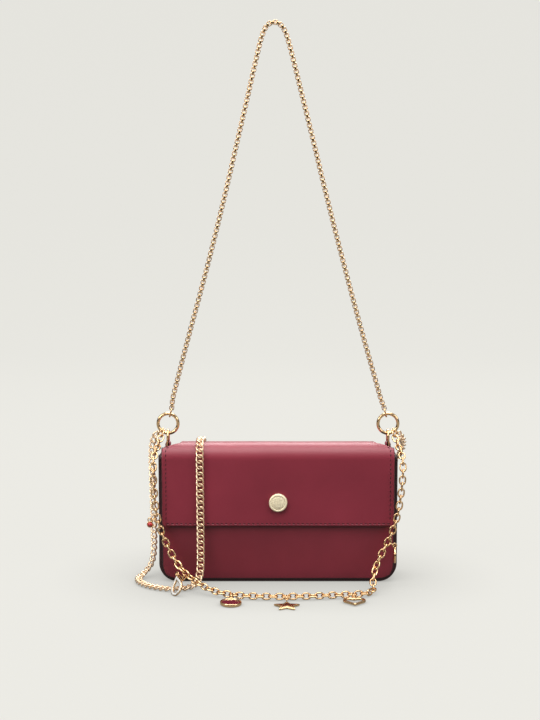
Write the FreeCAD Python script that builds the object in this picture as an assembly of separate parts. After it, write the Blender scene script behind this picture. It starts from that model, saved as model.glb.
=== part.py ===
import FreeCAD, Part
import math
import os

V = FreeCAD.Vector

# Chain shoulder bag, in millimetres. X is to the right, Y to the back, Z up.
# The origin is under the middle of the bag, on the surface that it stands on.

# Directions
right = V(1, 0, 0)
back = V(0, 1, 0)
up = V(0, 0, 1)
front = V(0, -1, 0)
down = V(0, 0, -1)
middle = V(0, 0, 0)

# Fits
seat = 0.2            # between two pieces that lie on each other
running = 0.05        # radial, between a pin and its hole
overrun = 4.0         # how far a cut runs past what it cuts

# Bag body
bag_width = 205.0
bag_depth = 44.0
bag_height = 121.0    # to the top of the flap
mouth_height = 110.0  # upper edge of the front panel and of the gusset
corner_radius = 16.0
panel_thickness = 1.8
panel_inset = 2.4     # how far the gusset shows round a panel
gusset_thickness = 3.4
board_thickness = 2.0
lining_thickness = 0.8
lining_depth_gap = 3.0    # room behind the front panel for the magnet
lining_top_gap = 3.5      # below the mouth

# Flap
flap_side_gap = 3.5   # between the flap's side edge and the bag's side
flap_edge_height = 50.5
flap_thickness = 1.8
flap_lining_thickness = 0.8
flap_lining_inset = 2.5
flap_front_radius = 13.0
flap_back_radius = 4.0
flap_back_drop = 5.0  # the flap's top slopes down this far to the back
flap_air = 2.0        # between the flap lining and the front panel
fold_gap = 0.6        # between the flap's fold bead and the back panel
fold_lining_gap = 3.0     # the flap lining ends this far above the fold
flap_notch_gap = 0.7      # between the open corner and the gate ring beside it
flap_notch_front = 15.0   # how far forward the open corner runs straight
flap_notch_slant = 4.5    # from there it runs out to a short lip
flap_notch_lip = 6.0

# Snap
snap_height = 71.3
snap_cap_radius = 7.85
snap_cap_rim = 0.8
snap_cap_rise = 2.4
snap_post_radius = 2.0
snap_plug_radius = 4.6
snap_plug_thickness = 1.4
snap_socket_radius = 8.0
snap_socket_bore = 6.0
snap_socket_thickness = 1.4
snap_magnet_radius = 5.5
snap_magnet_thickness = 1.6
snap_washer_radius = 9.0
snap_washer_thickness = 0.6

# Gate ring and D-ring
ring_inset = 7.5      # from the bag's side to the plane of the D-ring
ring_radius = 8.6     # centre line of the wire
ring_wire_radius = 1.4
gate_hinge_angle = 150.0
gate_nose_angle = 215.0
gate_knuckle_angle = 12.0
gate_gap = 0.3
gate_tongue = 0.9
gate_tongue_radius = 1.1
gate_pin_radius = 0.45
gate_pin_length = 2.4
d_wire_radius = 1.1
d_half_width = 5.5
d_bar_rise = 7.0      # bar above the mouth
d_side_length = 6.7   # straight side, from the bar to the arch
d_seat = 0.3
tab_width = 8.0
tab_thickness = 2.0
tab_skin = 1.2
tab_foot_height = 12.0
tab_foot_drop = 3.0   # foot's top below the mouth

# Chains: inner length (the pitch), width, wire in the link's plane, band across it
box_pitch = 2.55
box_width = 4.4
box_wire = 0.5
box_band = 2.0
curb_pitch = 5.0
curb_width = 7.3
curb_wire = 1.7
cable_pitch = 5.5
cable_width = 6.5
cable_wire = 1.45
end_pitch = 6.0       # the larger link at each end of a chain
end_width = 7.0
end_wire = 1.4
jump_pitch = 4.5
jump_width = 5.0
jump_wire = 1.0
link_play = 0.3       # slack of each link on the next

arc_share = 0.45      # of the shorter of two runs, the part that the arc between them takes

# Corners of a link as shares of its half length and half width
oval_shares = ((1, 0.6), (0, 1), (-1, 0.6), (-1, -0.6), (0, -1), (1, -0.6))
square_shares = ((1, 1), (-1, 1), (-1, -1), (1, -1))

# Where each chain hangs on the right ring, in degrees from +X to +Z, and how far it leans to the front
strap_angle = 104.0
strap_lean = 0.0
curb_angle = -45.0
curb_lean = -25.0
cable_angle = -62.0
cable_lean = 40.0

# Charms
eye_radius = 2.3
eye_bore = 1.25
eye_thickness = 1.1
eye_bite = 0.4        # how deep an eye is set into the charm below it
eye_drop = 0.3        # a charm that lies on the floor hangs this low in its jump ring
disc_radius = 8.9
disc_thickness = 3.0
disc_rim = 1.0
disc_enamel_thickness = 0.8
star_radius = 11.5
star_inner_share = 0.44
star_thickness = 2.8
star_points = 5
heart_lobe_radius = 6.0
heart_band = 2.0
heart_thickness = 2.4
drop_radius = 7.2
drop_length = 11.5
drop_band = 3.0
drop_thickness = 1.6
drop_enamel_thickness = 0.5
drop_hang = V(0, -0.68, -0.73)    # the way that the drop leans on the floor
coin_radius = 7.0
coin_thickness = 1.6
bead_radius = 2.6
bead_bezel = 0.5
bead_bezel_thickness = 1.6

# Routes: x, y, z and the direction that the links face
box_route = (
    (-91.2, 0.0, 155.5, front), (-86.6, 0.0, 173.0, front), (-77.6, 0.0, 207.6, front),
    (-68.0, 0.0, 242.1, front), (-58.8, 0.0, 276.3, front), (-50.2, 0.0, 310.2, front),
    (-42.0, 0.0, 343.9, front), (-34.2, 0.0, 377.4, front), (-26.3, 0.0, 410.6, front),
    (-18.7, 0.0, 443.6, front), (-14.8, 0.0, 460.0, front), (-11.2, 0.0, 470.2, front),
    (-6.4, 0.0, 473.8, front), (-0.4, 0.0, 473.8, front), (4.6, 0.0, 470.2, front),
    (8.4, 0.0, 460.0, front), (12.7, 0.0, 443.6, front), (21.0, 0.0, 410.6, front),
    (29.4, 0.0, 377.4, front), (37.6, 0.0, 343.9, front), (46.1, 0.0, 310.2, front),
    (55.0, 0.0, 276.3, front), (64.2, 0.0, 242.1, front), (73.8, 0.0, 207.6, front),
    (83.9, 0.0, 173.0, front), (88.8, 0.0, 155.5, front),
)
curb_route = (
    (-109.2, 5.4, 117.0, right + back), (-110.0, 6.2, 106.0, right + back),
    (-109.8, 6.0, 92.0, right + back), (-109.4, 5.4, 74.0, right + back), (-108.6, 4.4, 50.0, right + back),
    (-108.2, 2.6, 30.0, right + back), (-108.6, 0.6, 17.0, right * 3 + back * 2 + down),
    (-111.4, -1.6, 8.4, right * 2 + back + down * 2), (-117.4, -6.4, 4.4, right + down * 3),
    (-121.4, -18.5, 4.0, down), (-117.5, -32.5, 4.0, down),
    (-106.5, -44.0, 4.0, down), (-92.0, -50.0, 4.0, down),
    (-78.0, -49.0, 4.0, down), (-69.0, -41.5, 5.0, down),
    (-66.2, -33.0, 12.0, down + back), (-66.0, -30.4, 28.0, back),
    (-66.1, -30.1, 58.0, back), (-66.3, -30.3, 88.0, back),
    (-66.5, -30.3, 114.6, back), (-66.8, -20.0, 125.6, back + down),
    (-66.9, 0.0, 123.6, down), (-66.4, 20.6, 120.4, down),
    (-65.6, 26.4, 114.0, down + front), (-63.6, 26.4, 98.0, front),
    (-58.0, 26.6, 76.0, front), (-45.0, 26.8, 55.0, front),
    (-25.0, 26.8, 41.0, front), (0.0, 26.8, 35.5, front),
    (25.0, 26.8, 38.0, front), (48.0, 27.0, 47.0, front),
    (69.0, 27.6, 61.0, front), (88.0, 28.8, 79.0, front * 3 + right),
    (102.0, 28.6, 95.0, front * 2 + right), (109.4, 20.6, 107.0, front + right),
    (109.8, 9.8, 116.6, front + right),
)
cable_route = (
    (-103.2, -12.6, 116.4, right), (-105.2, -20.6, 113.4, right),
    (-106.0, -28.0, 107.0, right), (-105.8, -31.4, 97.0, right),
    (-105.2, -32.0, 84.0, right), (-104.0, -32.0, 66.0, right),
    (-100.0, -32.4, 48.0, right), (-93.0, -34.0, 33.0, right),
    (-85.5, -39.5, 20.5, right + up), (-76.0, -48.5, 13.0, up),
    (-65.0, -58.0, 8.0, up), (-51.0, -66.5, 4.2, up),
    (-34.0, -72.5, 3.5, up), (-12.0, -75.5, 3.5, up),
    (12.0, -75.5, 3.5, up), (34.0, -73.5, 3.5, up),
    (51.0, -70.5, 3.5, up), (63.5, -69.0, 3.5, up),
    (75.5, -66.0, 3.5, up), (80.5, -57.5, 3.8, up),
    (79.5, -47.5, 7.5, up), (82.5, -38.5, 18.0, up + right),
    (89.5, -33.6, 31.0, right), (96.5, -32.2, 45.0, right),
    (102.0, -32.0, 62.0, right), (104.8, -32.0, 84.0, right),
    (105.8, -31.4, 97.0, right), (106.0, -28.0, 107.0, right),
    (105.2, -20.6, 113.4, right), (103.2, -12.6, 116.4, right),
)

# Where each chain is cut into stretches: shares of the whole chain
box_stretch_shares = (0.0, 0.42, 0.58, 1.0)
curb_stretch_shares = (0.0, 0.171, 0.361, 0.62, 1.0)
cable_stretch_shares = (0.0, 0.33, 0.66, 1.0)

# Where each charm hangs: share of the charm chain
bead_share = 0.172
drop_share = 0.272
disc_share = 0.398
star_share = 0.497
heart_share = 0.612
coin_share = 0.785

# Worked out from the sizes above
half_depth = bag_depth / 2
panel_inner = half_depth - panel_thickness
gusset_inner_x = bag_width / 2 - gusset_thickness
lining_inset = gusset_thickness + board_thickness + 2 * seat
flap_front_y = -(half_depth + flap_air + flap_lining_thickness + flap_thickness)
flap_inner_y = flap_front_y + flap_thickness
flap_lined_y = flap_inner_y + flap_lining_thickness
fold_height = bag_height - flap_back_drop - flap_back_radius
back_arc_y = half_depth - flap_back_radius
front_arc_y = flap_front_y + flap_front_radius
front_arc_z = bag_height - flap_front_radius
fold_bead = flap_thickness / 2
fold_y = half_depth - fold_bead
back_panel_top = fold_height - fold_bead - fold_gap
flap_width = bag_width - 2 * flap_side_gap
ring_x = bag_width / 2 - ring_inset
d_bar_height = mouth_height + d_bar_rise
d_arch_height = d_bar_height + d_side_length + d_half_width
ring_bottom = d_arch_height - d_wire_radius - d_seat - ring_wire_radius
ring_height = ring_bottom + ring_radius
ring_centre = V(ring_x, 0, ring_height)
notch_x = ring_x - ring_radius - ring_wire_radius - flap_notch_gap
gate_hinge = ring_centre + V(
    ring_radius * math.cos(math.radians(gate_hinge_angle)), 0,
    ring_radius * math.sin(math.radians(gate_hinge_angle)))
gate_nose_height = ring_height + ring_radius * math.sin(math.radians(gate_nose_angle))


def save(node, *shapes):
    shape = shapes[0] if len(shapes) == 1 else Part.makeCompound(list(shapes))
    shape.exportStep("parts/" + node + ".step")


def mirrored(shape):
    return shape.mirror(middle, right)


def prism(points, along):
    return Part.Face(Part.makePolygon(points + points[:1])).extrude(along)


def box(low, high):
    size = high - low
    return Part.makeBox(size.x, size.y, size.z, low)


# Bag body

def u_outline(inset, top, y):
    half = bag_width / 2 - inset
    radius = corner_radius - inset
    floor = inset
    bend = radius * math.sqrt(2) / 2
    left_top = V(-half, y, top)
    right_top = V(half, y, top)
    left_arc = Part.Arc(V(-half, y, floor + radius),
                        V(-half + radius - bend, y, floor + radius - bend),
                        V(-half + radius, y, floor))
    right_arc = Part.Arc(V(half - radius, y, floor),
                         V(half - radius + bend, y, floor + radius - bend),
                         V(half, y, floor + radius))
    edges = [Part.LineSegment(left_top, left_arc.StartPoint), left_arc,
             Part.LineSegment(left_arc.EndPoint, right_arc.StartPoint), right_arc,
             Part.LineSegment(right_arc.EndPoint, right_top), Part.LineSegment(right_top, left_top)]
    return Part.Wire([edge.toShape() for edge in edges])


def u_block(inset, top, low_y, high_y):
    return Part.Face(u_outline(inset, top, low_y)).extrude(V(0, high_y - low_y, 0))


def make_body():
    gusset = u_block(0, mouth_height, -panel_inner, panel_inner)
    inside = u_block(gusset_thickness, mouth_height + overrun,
                     -panel_inner - overrun, panel_inner + overrun)
    save("gusset", gusset.cut(inside))
    save("front_panel", u_block(panel_inset, mouth_height, -half_depth, -panel_inner))
    save("back_panel", u_block(panel_inset, back_panel_top, panel_inner, half_depth))
    board_half = bag_width / 2 - corner_radius
    board_low = V(-board_half, -panel_inner + seat, gusset_thickness)
    board_high = V(board_half, panel_inner - seat, gusset_thickness + board_thickness)
    save("base_board", box(board_low, board_high))
    lining_top = mouth_height - lining_top_gap
    lining_front = -panel_inner + lining_depth_gap
    lining_back = panel_inner - seat
    lining = u_block(lining_inset, lining_top, lining_front, lining_back)
    hollow = u_block(lining_inset + lining_thickness, lining_top + overrun,
                     lining_front + lining_thickness, lining_back - lining_thickness)
    save("lining", lining.cut(hollow))


# Flap

def flap_profile(depth_in, depth_out, edge_height):
    # Cross-section between two depths below the flap's outer skin, from the fold to the front edge
    def arc(centre_y, centre_z, radius, low, high):
        turns = (low, (low + high) / 2, high)
        return Part.Arc(*[V(0, centre_y + radius * math.cos(turn), centre_z + radius * math.sin(turn))
                          for turn in turns])

    def line(depth):
        bend_back = arc(back_arc_y, fold_height, flap_back_radius - depth, 0, top_turn)
        bend_front = arc(front_arc_y, front_arc_z, flap_front_radius - depth, top_turn, math.pi)
        edge = V(0, flap_front_y + depth, edge_height)
        return [bend_back, Part.LineSegment(bend_back.EndPoint, bend_front.StartPoint), bend_front,
                Part.LineSegment(bend_front.EndPoint, edge)]

    # The sloping top touches both bends
    run = back_arc_y - front_arc_y
    rise = fold_height - front_arc_z
    slope = math.asin((flap_front_radius - flap_back_radius) / math.hypot(run, rise)) - math.atan2(rise, run)
    top_turn = math.pi / 2 - slope
    outer = line(depth_in)
    inner = line(depth_out)
    ends = [Part.LineSegment(outer[-1].EndPoint, inner[-1].EndPoint),
            Part.LineSegment(outer[0].StartPoint, inner[0].StartPoint)]
    edges = [edge.toShape() for edge in outer + inner + ends]
    return Part.Face(Part.Wire(Part.__sortEdges__(edges)))


def flap_layer(depth_in, depth_out, edge_height, width):
    face = flap_profile(depth_in, depth_out, edge_height)
    face.translate(V(-width / 2, 0, 0))
    layer = face.extrude(V(width, 0, 0))
    low = fold_height - overrun
    lip_x = flap_width / 2 - flap_notch_lip
    outer_x = flap_width / 2 + overrun
    lip_y = -flap_notch_front - flap_notch_slant
    back_y = half_depth + overrun
    notch = prism([V(notch_x, back_y, low), V(notch_x, -flap_notch_front, low), V(lip_x, lip_y, low),
                   V(outer_x, lip_y, low), V(outer_x, back_y, low)], up * (bag_height + overrun - low))
    return layer.cut(notch).cut(mirrored(notch))


def make_flap():
    hole = Part.makeCylinder(snap_post_radius + running, 2 * overrun + bag_depth,
                             V(0, flap_front_y - overrun, snap_height), back)
    hole = hole.common(box(V(-bag_width, flap_front_y - overrun, 0), V(bag_width, 0, bag_height)))
    bead_width = 2 * notch_x
    bead = Part.makeCylinder(fold_bead, bead_width, V(-bead_width / 2, fold_y, fold_height), right)
    leather = flap_layer(0, flap_thickness, flap_edge_height, flap_width)
    leather = leather.fuse(bead).cut(hole).removeSplitter()
    save("flap_leather", leather)
    lined = flap_thickness + flap_lining_thickness
    lining = flap_layer(flap_thickness, lined, flap_edge_height + flap_lining_inset,
                        flap_width - 2 * flap_lining_inset)
    fold_end = box(V(-bag_width, half_depth - lined - overrun, fold_height - overrun),
                   V(bag_width, half_depth + overrun, fold_height + fold_lining_gap))
    save("flap_lining", lining.cut(hole).cut(fold_end))


# Snap

def make_snap():
    centre = V(0, 0, snap_height)

    def disc(radius, low_y, thickness):
        return Part.makeCylinder(radius, thickness, centre + V(0, low_y, 0), back)

    rim_y = flap_front_y - snap_cap_rim
    dome_y = rim_y - snap_cap_rise
    rim = disc(snap_cap_radius, rim_y, snap_cap_rim)
    dome_radius = (snap_cap_radius ** 2 + snap_cap_rise ** 2) / (2 * snap_cap_rise)
    ball = Part.makeSphere(dome_radius, centre + V(0, dome_y + dome_radius, 0))
    dome = ball.common(disc(snap_cap_radius, dome_y, snap_cap_rise))
    save("snap_cap", rim.fuse(dome).removeSplitter())
    post = disc(snap_post_radius, flap_front_y, flap_lined_y - flap_front_y)
    plug = disc(snap_plug_radius, flap_lined_y, snap_plug_thickness)
    save("snap_plug", post.fuse(plug).removeSplitter())
    socket_y = -half_depth - snap_socket_thickness
    socket = disc(snap_socket_radius, socket_y, snap_socket_thickness)
    save("snap_socket", socket.cut(disc(snap_socket_bore, socket_y, snap_socket_thickness)))
    save("snap_magnet", disc(snap_magnet_radius, -panel_inner, snap_magnet_thickness))
    washer_y = -panel_inner + snap_magnet_thickness
    save("snap_washer", disc(snap_washer_radius, washer_y, snap_washer_thickness))


# Rings

def ring_arc(start, sweep):
    turn = math.radians(start)
    place = ring_centre + V(ring_radius * math.cos(turn), 0, ring_radius * math.sin(turn))
    tangent = V(-math.sin(turn), 0, math.cos(turn))
    section = Part.Face(Part.Wire(Part.makeCircle(ring_wire_radius, place, tangent)))
    return section.revolve(ring_centre, front, sweep)


def slab(half_thickness):
    reach = V(2 * ring_radius, half_thickness, 2 * ring_radius)
    return box(ring_centre - reach, ring_centre + reach)


def make_ring():
    reach = 2 * ring_radius
    upper_end = gate_hinge_angle - gate_knuckle_angle
    lower_end = gate_nose_angle - gate_knuckle_angle
    body = ring_arc(lower_end, 360 - lower_end + upper_end)
    nose_room = box(V(ring_x - reach, -reach, gate_nose_height - gate_gap), V(ring_x, reach, ring_height))
    tongue = ring_arc(upper_end, gate_knuckle_angle).common(slab(gate_tongue / 2))
    tongue_end = Part.makeCylinder(gate_tongue_radius, gate_tongue,
                                   gate_hinge + front * (gate_tongue / 2), back)
    pin_hole = Part.makeCylinder(gate_pin_radius, reach, gate_hinge + front * (reach / 2), back)
    body = body.cut(nose_room).fuse([tongue, tongue_end]).cut(pin_hole).removeSplitter()
    gate = ring_arc(gate_hinge_angle, gate_nose_angle + gate_knuckle_angle - gate_hinge_angle)
    gate = gate.fuse(Part.makeSphere(ring_wire_radius, gate_hinge))
    below_nose = box(V(ring_x - reach, -reach, ring_height - reach), V(ring_x, reach, gate_nose_height))
    slot_radius = ring_wire_radius + seat
    slot = Part.makeCylinder(slot_radius, gate_tongue + 2 * seat,
                             gate_hinge + front * (gate_tongue / 2 + seat), back)
    loose_hole = Part.makeCylinder(gate_pin_radius + running, reach,
                                   gate_hinge + front * (reach / 2), back)
    gate = gate.cut(below_nose).cut(slot).cut(loose_hole).removeSplitter()
    pin = Part.makeCylinder(gate_pin_radius, gate_pin_length,
                            gate_hinge + front * (gate_pin_length / 2), back)
    for side, turn in (("left_", mirrored), ("right_", Part.Shape.copy)):
        save(side + "gate_ring", turn(body))
        save(side + "ring_gate", turn(gate))
        save(side + "gate_pin", turn(pin))


def make_d_ring():
    low_left = V(ring_x, -d_half_width, d_bar_height)
    low_right = V(ring_x, d_half_width, d_bar_height)
    pieces = [Part.makeCylinder(d_wire_radius, 2 * d_half_width, low_left, back)]
    for corner in (low_left, low_right):
        pieces.append(Part.makeCylinder(d_wire_radius, d_side_length, corner, up))
        pieces.append(Part.makeSphere(d_wire_radius, corner))
    arch_start = low_right + V(0, 0, d_side_length)
    section = Part.Face(Part.Wire(Part.makeCircle(d_wire_radius, arch_start, up)))
    pieces.append(section.revolve(V(ring_x, 0, arch_start.z), right, 180))
    d_ring = pieces[0].fuse(pieces[1:]).removeSplitter()
    save("right_d_ring", d_ring)
    save("left_d_ring", mirrored(d_ring))


def make_tab():
    eye = V(ring_x, 0, d_bar_height)
    eye_outer = d_wire_radius + running + tab_skin
    half = V(0, tab_width / 2, 0)
    foot_top = mouth_height - tab_foot_drop
    inner_x = gusset_inner_x - tab_thickness
    foot = box(V(inner_x, 0, foot_top - tab_foot_height) - half, V(gusset_inner_x, 0, foot_top) + half)
    neck_foot = V((inner_x + gusset_inner_x) / 2, 0, foot_top)
    rise = (eye - neck_foot).normalize()
    across = rise.cross(back) * eye_outer
    foot_across = V(tab_thickness / 2, 0, 0)
    neck = prism([neck_foot - foot_across - half, neck_foot + foot_across - half,
                  eye - across - half, eye + across - half], half * 2)
    knuckle = Part.makeCylinder(eye_outer, tab_width, eye - half, back)
    hole = Part.makeCylinder(d_wire_radius + running, tab_width + 2 * overrun,
                             eye - half - back * overrun, back)
    tab = foot.fuse([neck, knuckle]).cut(hole).removeSplitter()
    save("right_tab", tab)
    save("left_tab", mirrored(tab))


# Chains

def smooth_route(points):
    # Straight runs joined by arcs that are as large as the two runs allow
    edges = []
    radii = []
    start = points[0]
    for before, here, after in zip(points, points[1:], points[2:]):
        come = (here - before).normalize()
        leave = (after - here).normalize()
        turn = come.getAngle(leave)
        reach = arc_share * min((here - before).Length, (after - here).Length)
        enter = here - come * reach
        leaving = here + leave * reach
        radius = reach / math.tan(turn / 2)
        radii.append(radius)
        inward = (leave - come).normalize()
        bulge = here + inward * (radius / math.cos(turn / 2) - radius)
        edges.append(Part.LineSegment(start, enter).toShape())
        edges.append(Part.Arc(enter, bulge, leaving).toShape())
        start = leaving
    edges.append(Part.LineSegment(start, points[-1]).toShape())
    return Part.Wire(edges), radii


def hang_line(angle, lean, side):
    # Start, direction and pierced normal of the first link that hangs on a ring
    turn = math.radians(angle)
    tilt = math.radians(lean)
    radial = V(side * math.cos(turn), 0, math.sin(turn))
    tangent = V(-side * math.sin(turn), 0, math.cos(turn))
    wire = V(side * ring_x, 0, ring_height) + radial * ring_radius
    fall = radial * math.cos(tilt) + front * math.sin(tilt)
    return wire - fall * (ring_wire_radius + seat), fall, tangent


def chain_end(angle, lean, side, pitch, roll, facing):
    # The two points where a chain leaves its end link, faced so that the first link crosses that link
    start, fall, tangent = hang_line(angle, lean, side)
    crossing = FreeCAD.Rotation(fall, 90 - roll).multVec(tangent)
    if crossing.dot(facing) < 0:
        crossing = -crossing
    leave = start + fall * end_pitch
    return [(leave, crossing), (leave + fall * pitch, crossing)]


def chain_frames(name, route, pitch, angle, lean, rolls):
    # One frame for each link: where it starts and ends, and its normal
    first = chain_end(angle, lean, -1, pitch, rolls[0], route[0][3])
    last = chain_end(angle, lean, 1, pitch, -rolls[0], route[-1][3])
    rows = first + [(V(*row[:3]), row[3]) for row in route] + last[::-1]
    points = [row[0] for row in rows]
    wire, radii = smooth_route(points)
    count = 2 * int(wire.Length / pitch / 2) + 1
    stops = wire.discretize(Number=count + 1)
    lengths = [0.0]
    for one, two in zip(points, points[1:]):
        lengths.append(lengths[-1] + (two - one).Length)
    frames = []
    for index, (start, end) in enumerate(zip(stops, stops[1:])):
        place = (index + 0.5) / count * lengths[-1]
        run = max(i for i in range(len(points) - 1) if lengths[i] <= place)
        share = (place - lengths[run]) / (lengths[run + 1] - lengths[run])
        along = (end - start).normalize()
        facing = rows[run][1].normalize() * (1 - share) + rows[run + 1][1].normalize() * share
        normal = (facing - along * facing.dot(along)).normalize()
        roll = FreeCAD.Rotation(along, rolls[index % 2])
        frames.append((start, end, roll.multVec(normal)))
    print(name, "length", round(wire.Length, 1), "links", count, "least radius", round(min(radii), 1))
    return frames


def link(start, end, normal, pitch, width, wire, band, shares):
    along = (end - start).normalize()
    across = along.cross(normal)
    centre = (start + end) * 0.5 - normal * (band / 2)

    def outline(half_length, half_width):
        corners = [centre + along * (half_length * u) + across * (half_width * v) for u, v in shares]
        return Part.makePolygon(corners + corners[:1])

    inner_length = (pitch + link_play) / 2
    face = Part.Face([outline(inner_length + wire, width / 2), outline(inner_length, width / 2 - wire)])
    return face.extrude(normal * band)


def stretches(frames, shares, nodes, make_link):
    for node, low, high in zip(nodes, shares, shares[1:]):
        part = frames[int(round(low * len(frames))):int(round(high * len(frames)))]
        save(node, *[make_link(*frame) for frame in part])


def make_end_links(node, angle, lean):
    links = []
    for side in (-1, 1):
        start, fall, tangent = hang_line(angle, lean, side)
        links.append(link(start, start + fall * end_pitch, tangent,
                          end_pitch, end_width, end_wire, end_wire, oval_shares))
    save(node, *links)


def make_straps():
    frames = chain_frames("box chain", box_route, box_pitch, strap_angle, strap_lean, (0, 90))
    stretches(frames, box_stretch_shares,
              ("shoulder_chain_left", "shoulder_chain_crown", "shoulder_chain_right"),
              lambda *frame: link(*frame, box_pitch, box_width, box_wire, box_band, square_shares))
    make_end_links("shoulder_chain_end_links", strap_angle, strap_lean)
    frames = chain_frames("curb chain", curb_route, curb_pitch, curb_angle, curb_lean, (-45, 45))
    stretches(frames, curb_stretch_shares,
              ("crossbody_side_run", "crossbody_floor_loop", "crossbody_front_run", "crossbody_back_run"),
              lambda *frame: link(*frame, curb_pitch, curb_width, curb_wire, curb_wire, oval_shares))
    make_end_links("crossbody_end_links", curb_angle, curb_lean)


# Charms: each is made with its eye at the origin, the hole upright and the charm towards the front

def add_eye(charm):
    eye = Part.makeCylinder(eye_radius, eye_thickness, down * (eye_thickness / 2))
    length = eye_thickness + 2 * overrun
    hole = Part.makeCylinder(eye_bore, length, down * (length / 2))
    return charm.fuse(eye).cut(hole).removeSplitter()


def flat_low(thickness):
    return eye_bite - eye_thickness / 2 - thickness


def disc_charm():
    centre = V(0, -eye_bore - disc_radius, flat_low(disc_thickness))
    metal = Part.makeCylinder(disc_radius, disc_thickness, centre)
    pocket_base = centre + up * (disc_thickness - disc_enamel_thickness)
    enamel = Part.makeCylinder(disc_radius - disc_rim, disc_enamel_thickness, pocket_base)
    return [("disc_charm", add_eye(metal).cut(enamel)), ("disc_enamel", enamel)]


def star_charm():
    centre = V(0, -eye_bore - star_radius, flat_low(star_thickness))
    corners = []
    for index in range(2 * star_points):
        reach = star_radius if index % 2 == 0 else star_radius * star_inner_share
        angle = math.pi / 2 + index * math.pi / star_points
        corners.append(centre + V(reach * math.cos(angle), reach * math.sin(angle), 0))
    return [("star_charm", add_eye(prism(corners, up * star_thickness)))]


def heart_block(lobe, low):
    # Two round lobes over a square that stands on its corner
    corner = lobe * math.sqrt(2)
    square = prism([V(0, 0, low), V(corner, -corner, low), V(0, -2 * corner, low),
                    V(-corner, -corner, low)], up * heart_thickness)
    lobes = [Part.makeCylinder(lobe, heart_thickness, V(side * corner / 2, -corner / 2, low))
             for side in (-1, 1)]
    return square.fuse(lobes).removeSplitter()


def heart_charm():
    low = flat_low(heart_thickness)
    inner = heart_block(heart_lobe_radius - heart_band, low)
    inner.translate(V(0, -heart_band * math.sqrt(2), 0))
    frame = heart_block(heart_lobe_radius, low).cut(inner)
    frame.translate(V(0, -eye_bore, 0))
    return [("heart_charm", add_eye(frame))]


def drop_block(radius, length, thickness, low):
    # A round end with two straight sides that meet in a point at the eye
    lean = math.asin(radius / length)
    touch = V(radius * math.cos(lean), -length + radius * math.sin(lean), low)
    wedge = prism([V(0, 0, low), V(-touch.x, touch.y, low), V(0, -length, low), touch], up * thickness)
    return wedge.fuse(Part.makeCylinder(radius, thickness, V(0, -length, low))).removeSplitter()


def drop_charm():
    low = -drop_thickness / 2
    face_low = low + drop_thickness - drop_enamel_thickness
    hole_share = 1 - drop_band / drop_radius
    outer = drop_block(drop_radius, drop_length, drop_thickness, low)
    face = drop_block(drop_radius, drop_length, drop_enamel_thickness, face_low)
    hole = drop_block(drop_radius * hole_share, drop_length * hole_share, 2 * drop_thickness, 2 * low)
    hole.translate(V(0, -drop_length * (1 - hole_share), 0))
    metal = outer.cut(face).cut(hole)
    enamel = face.cut(hole)
    for piece in (metal, enamel):
        piece.translate(V(0, -eye_bore, 0))
    metal = add_eye(metal)
    return [("drop_charm", metal), ("drop_enamel", enamel.cut(metal))]


def coin_charm():
    # The eye is square to the coin, so that the coin hangs edge on
    centre = V(-coin_thickness / 2, -eye_bore - coin_radius, 0)
    return [("coin_charm", add_eye(Part.makeCylinder(coin_radius, coin_thickness, centre, right)))]


def bead_charm():
    centre = V(0, -eye_bore - bead_radius - bead_bezel, 0)
    bead = Part.makeSphere(bead_radius, centre)
    bezel_low = centre + down * (bead_bezel_thickness / 2)
    bezel = Part.makeCylinder(bead_radius + bead_bezel, bead_bezel_thickness, bezel_low)
    return [("bead_charm", add_eye(bezel).cut(bead)), ("bead_enamel", bead)]


def jump_ring(start, along, normal):
    return link(start, start + along * jump_pitch, normal,
                jump_pitch, jump_width, jump_wire, jump_wire, oval_shares)


def make_charm_chain():
    frames = chain_frames("cable chain", cable_route, cable_pitch, cable_angle, cable_lean, (90, 0))
    stretches(frames, cable_stretch_shares, ("charm_chain_left", "charm_chain_floor", "charm_chain_right"),
              lambda *frame: link(*frame, cable_pitch, cable_width, cable_wire, cable_wire, oval_shares))
    make_end_links("charm_chain_end_links", cable_angle, cable_lean)
    rings = []
    for share, parity, toward, hang, sink, charm in (
            (bead_share, 0, -right, down, 0, bead_charm),
            (drop_share, 1, front, drop_hang, 0, drop_charm),
            (disc_share, 1, front, front, eye_drop, disc_charm),
            (star_share, 1, front, front, eye_drop, star_charm),
            (heart_share, 1, front, front, eye_drop, heart_charm),
            (coin_share, 0, right, down, 0, coin_charm)):
        start, end, eye_axis = frames[2 * int(share * len(frames) / 2) + parity]
        along = (end - start).normalize()
        out = along.cross(eye_axis)
        if out.dot(toward) < 0:
            out = -out
        inner = (start + end) * 0.5 + out * (cable_width / 2 - cable_wire - seat)
        rings.append(jump_ring(inner, out, along))
        place = inner + out * jump_pitch
        if charm is drop_charm:
            hang = hang.normalize()
            second = place + out * (jump_wire / 2) - hang * (jump_wire / 2 + seat)
            normal = (eye_axis - hang * eye_axis.dot(hang)).normalize()
            rings.append(jump_ring(second, hang, normal))
            place = second + hang * jump_pitch
            out = hang
            eye_axis = hang.cross(normal)
        place = place + out * (jump_wire / 2) + down * sink
        if eye_axis.dot(up + front) < 0:
            eye_axis = -eye_axis
        fall = (hang - eye_axis * hang.dot(eye_axis)).normalize()
        turn = FreeCAD.Rotation(eye_axis.cross(fall), -fall, eye_axis, "ZYX")
        print(charm.__name__, "eye", [round(part, 3) for part in place],
              "axis", [round(part, 3) for part in eye_axis])
        for node, piece in charm():
            piece.Placement = FreeCAD.Placement(place, turn)
            save(node, piece)
    save("charm_jump_rings", *rings)


os.makedirs("parts", exist_ok=True)
make_body()
make_flap()
make_snap()
make_ring()
make_d_ring()
make_tab()
make_straps()
make_charm_chain()
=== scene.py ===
import math

import bpy
from mathutils import Matrix, Quaternion, Vector, noise


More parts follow.
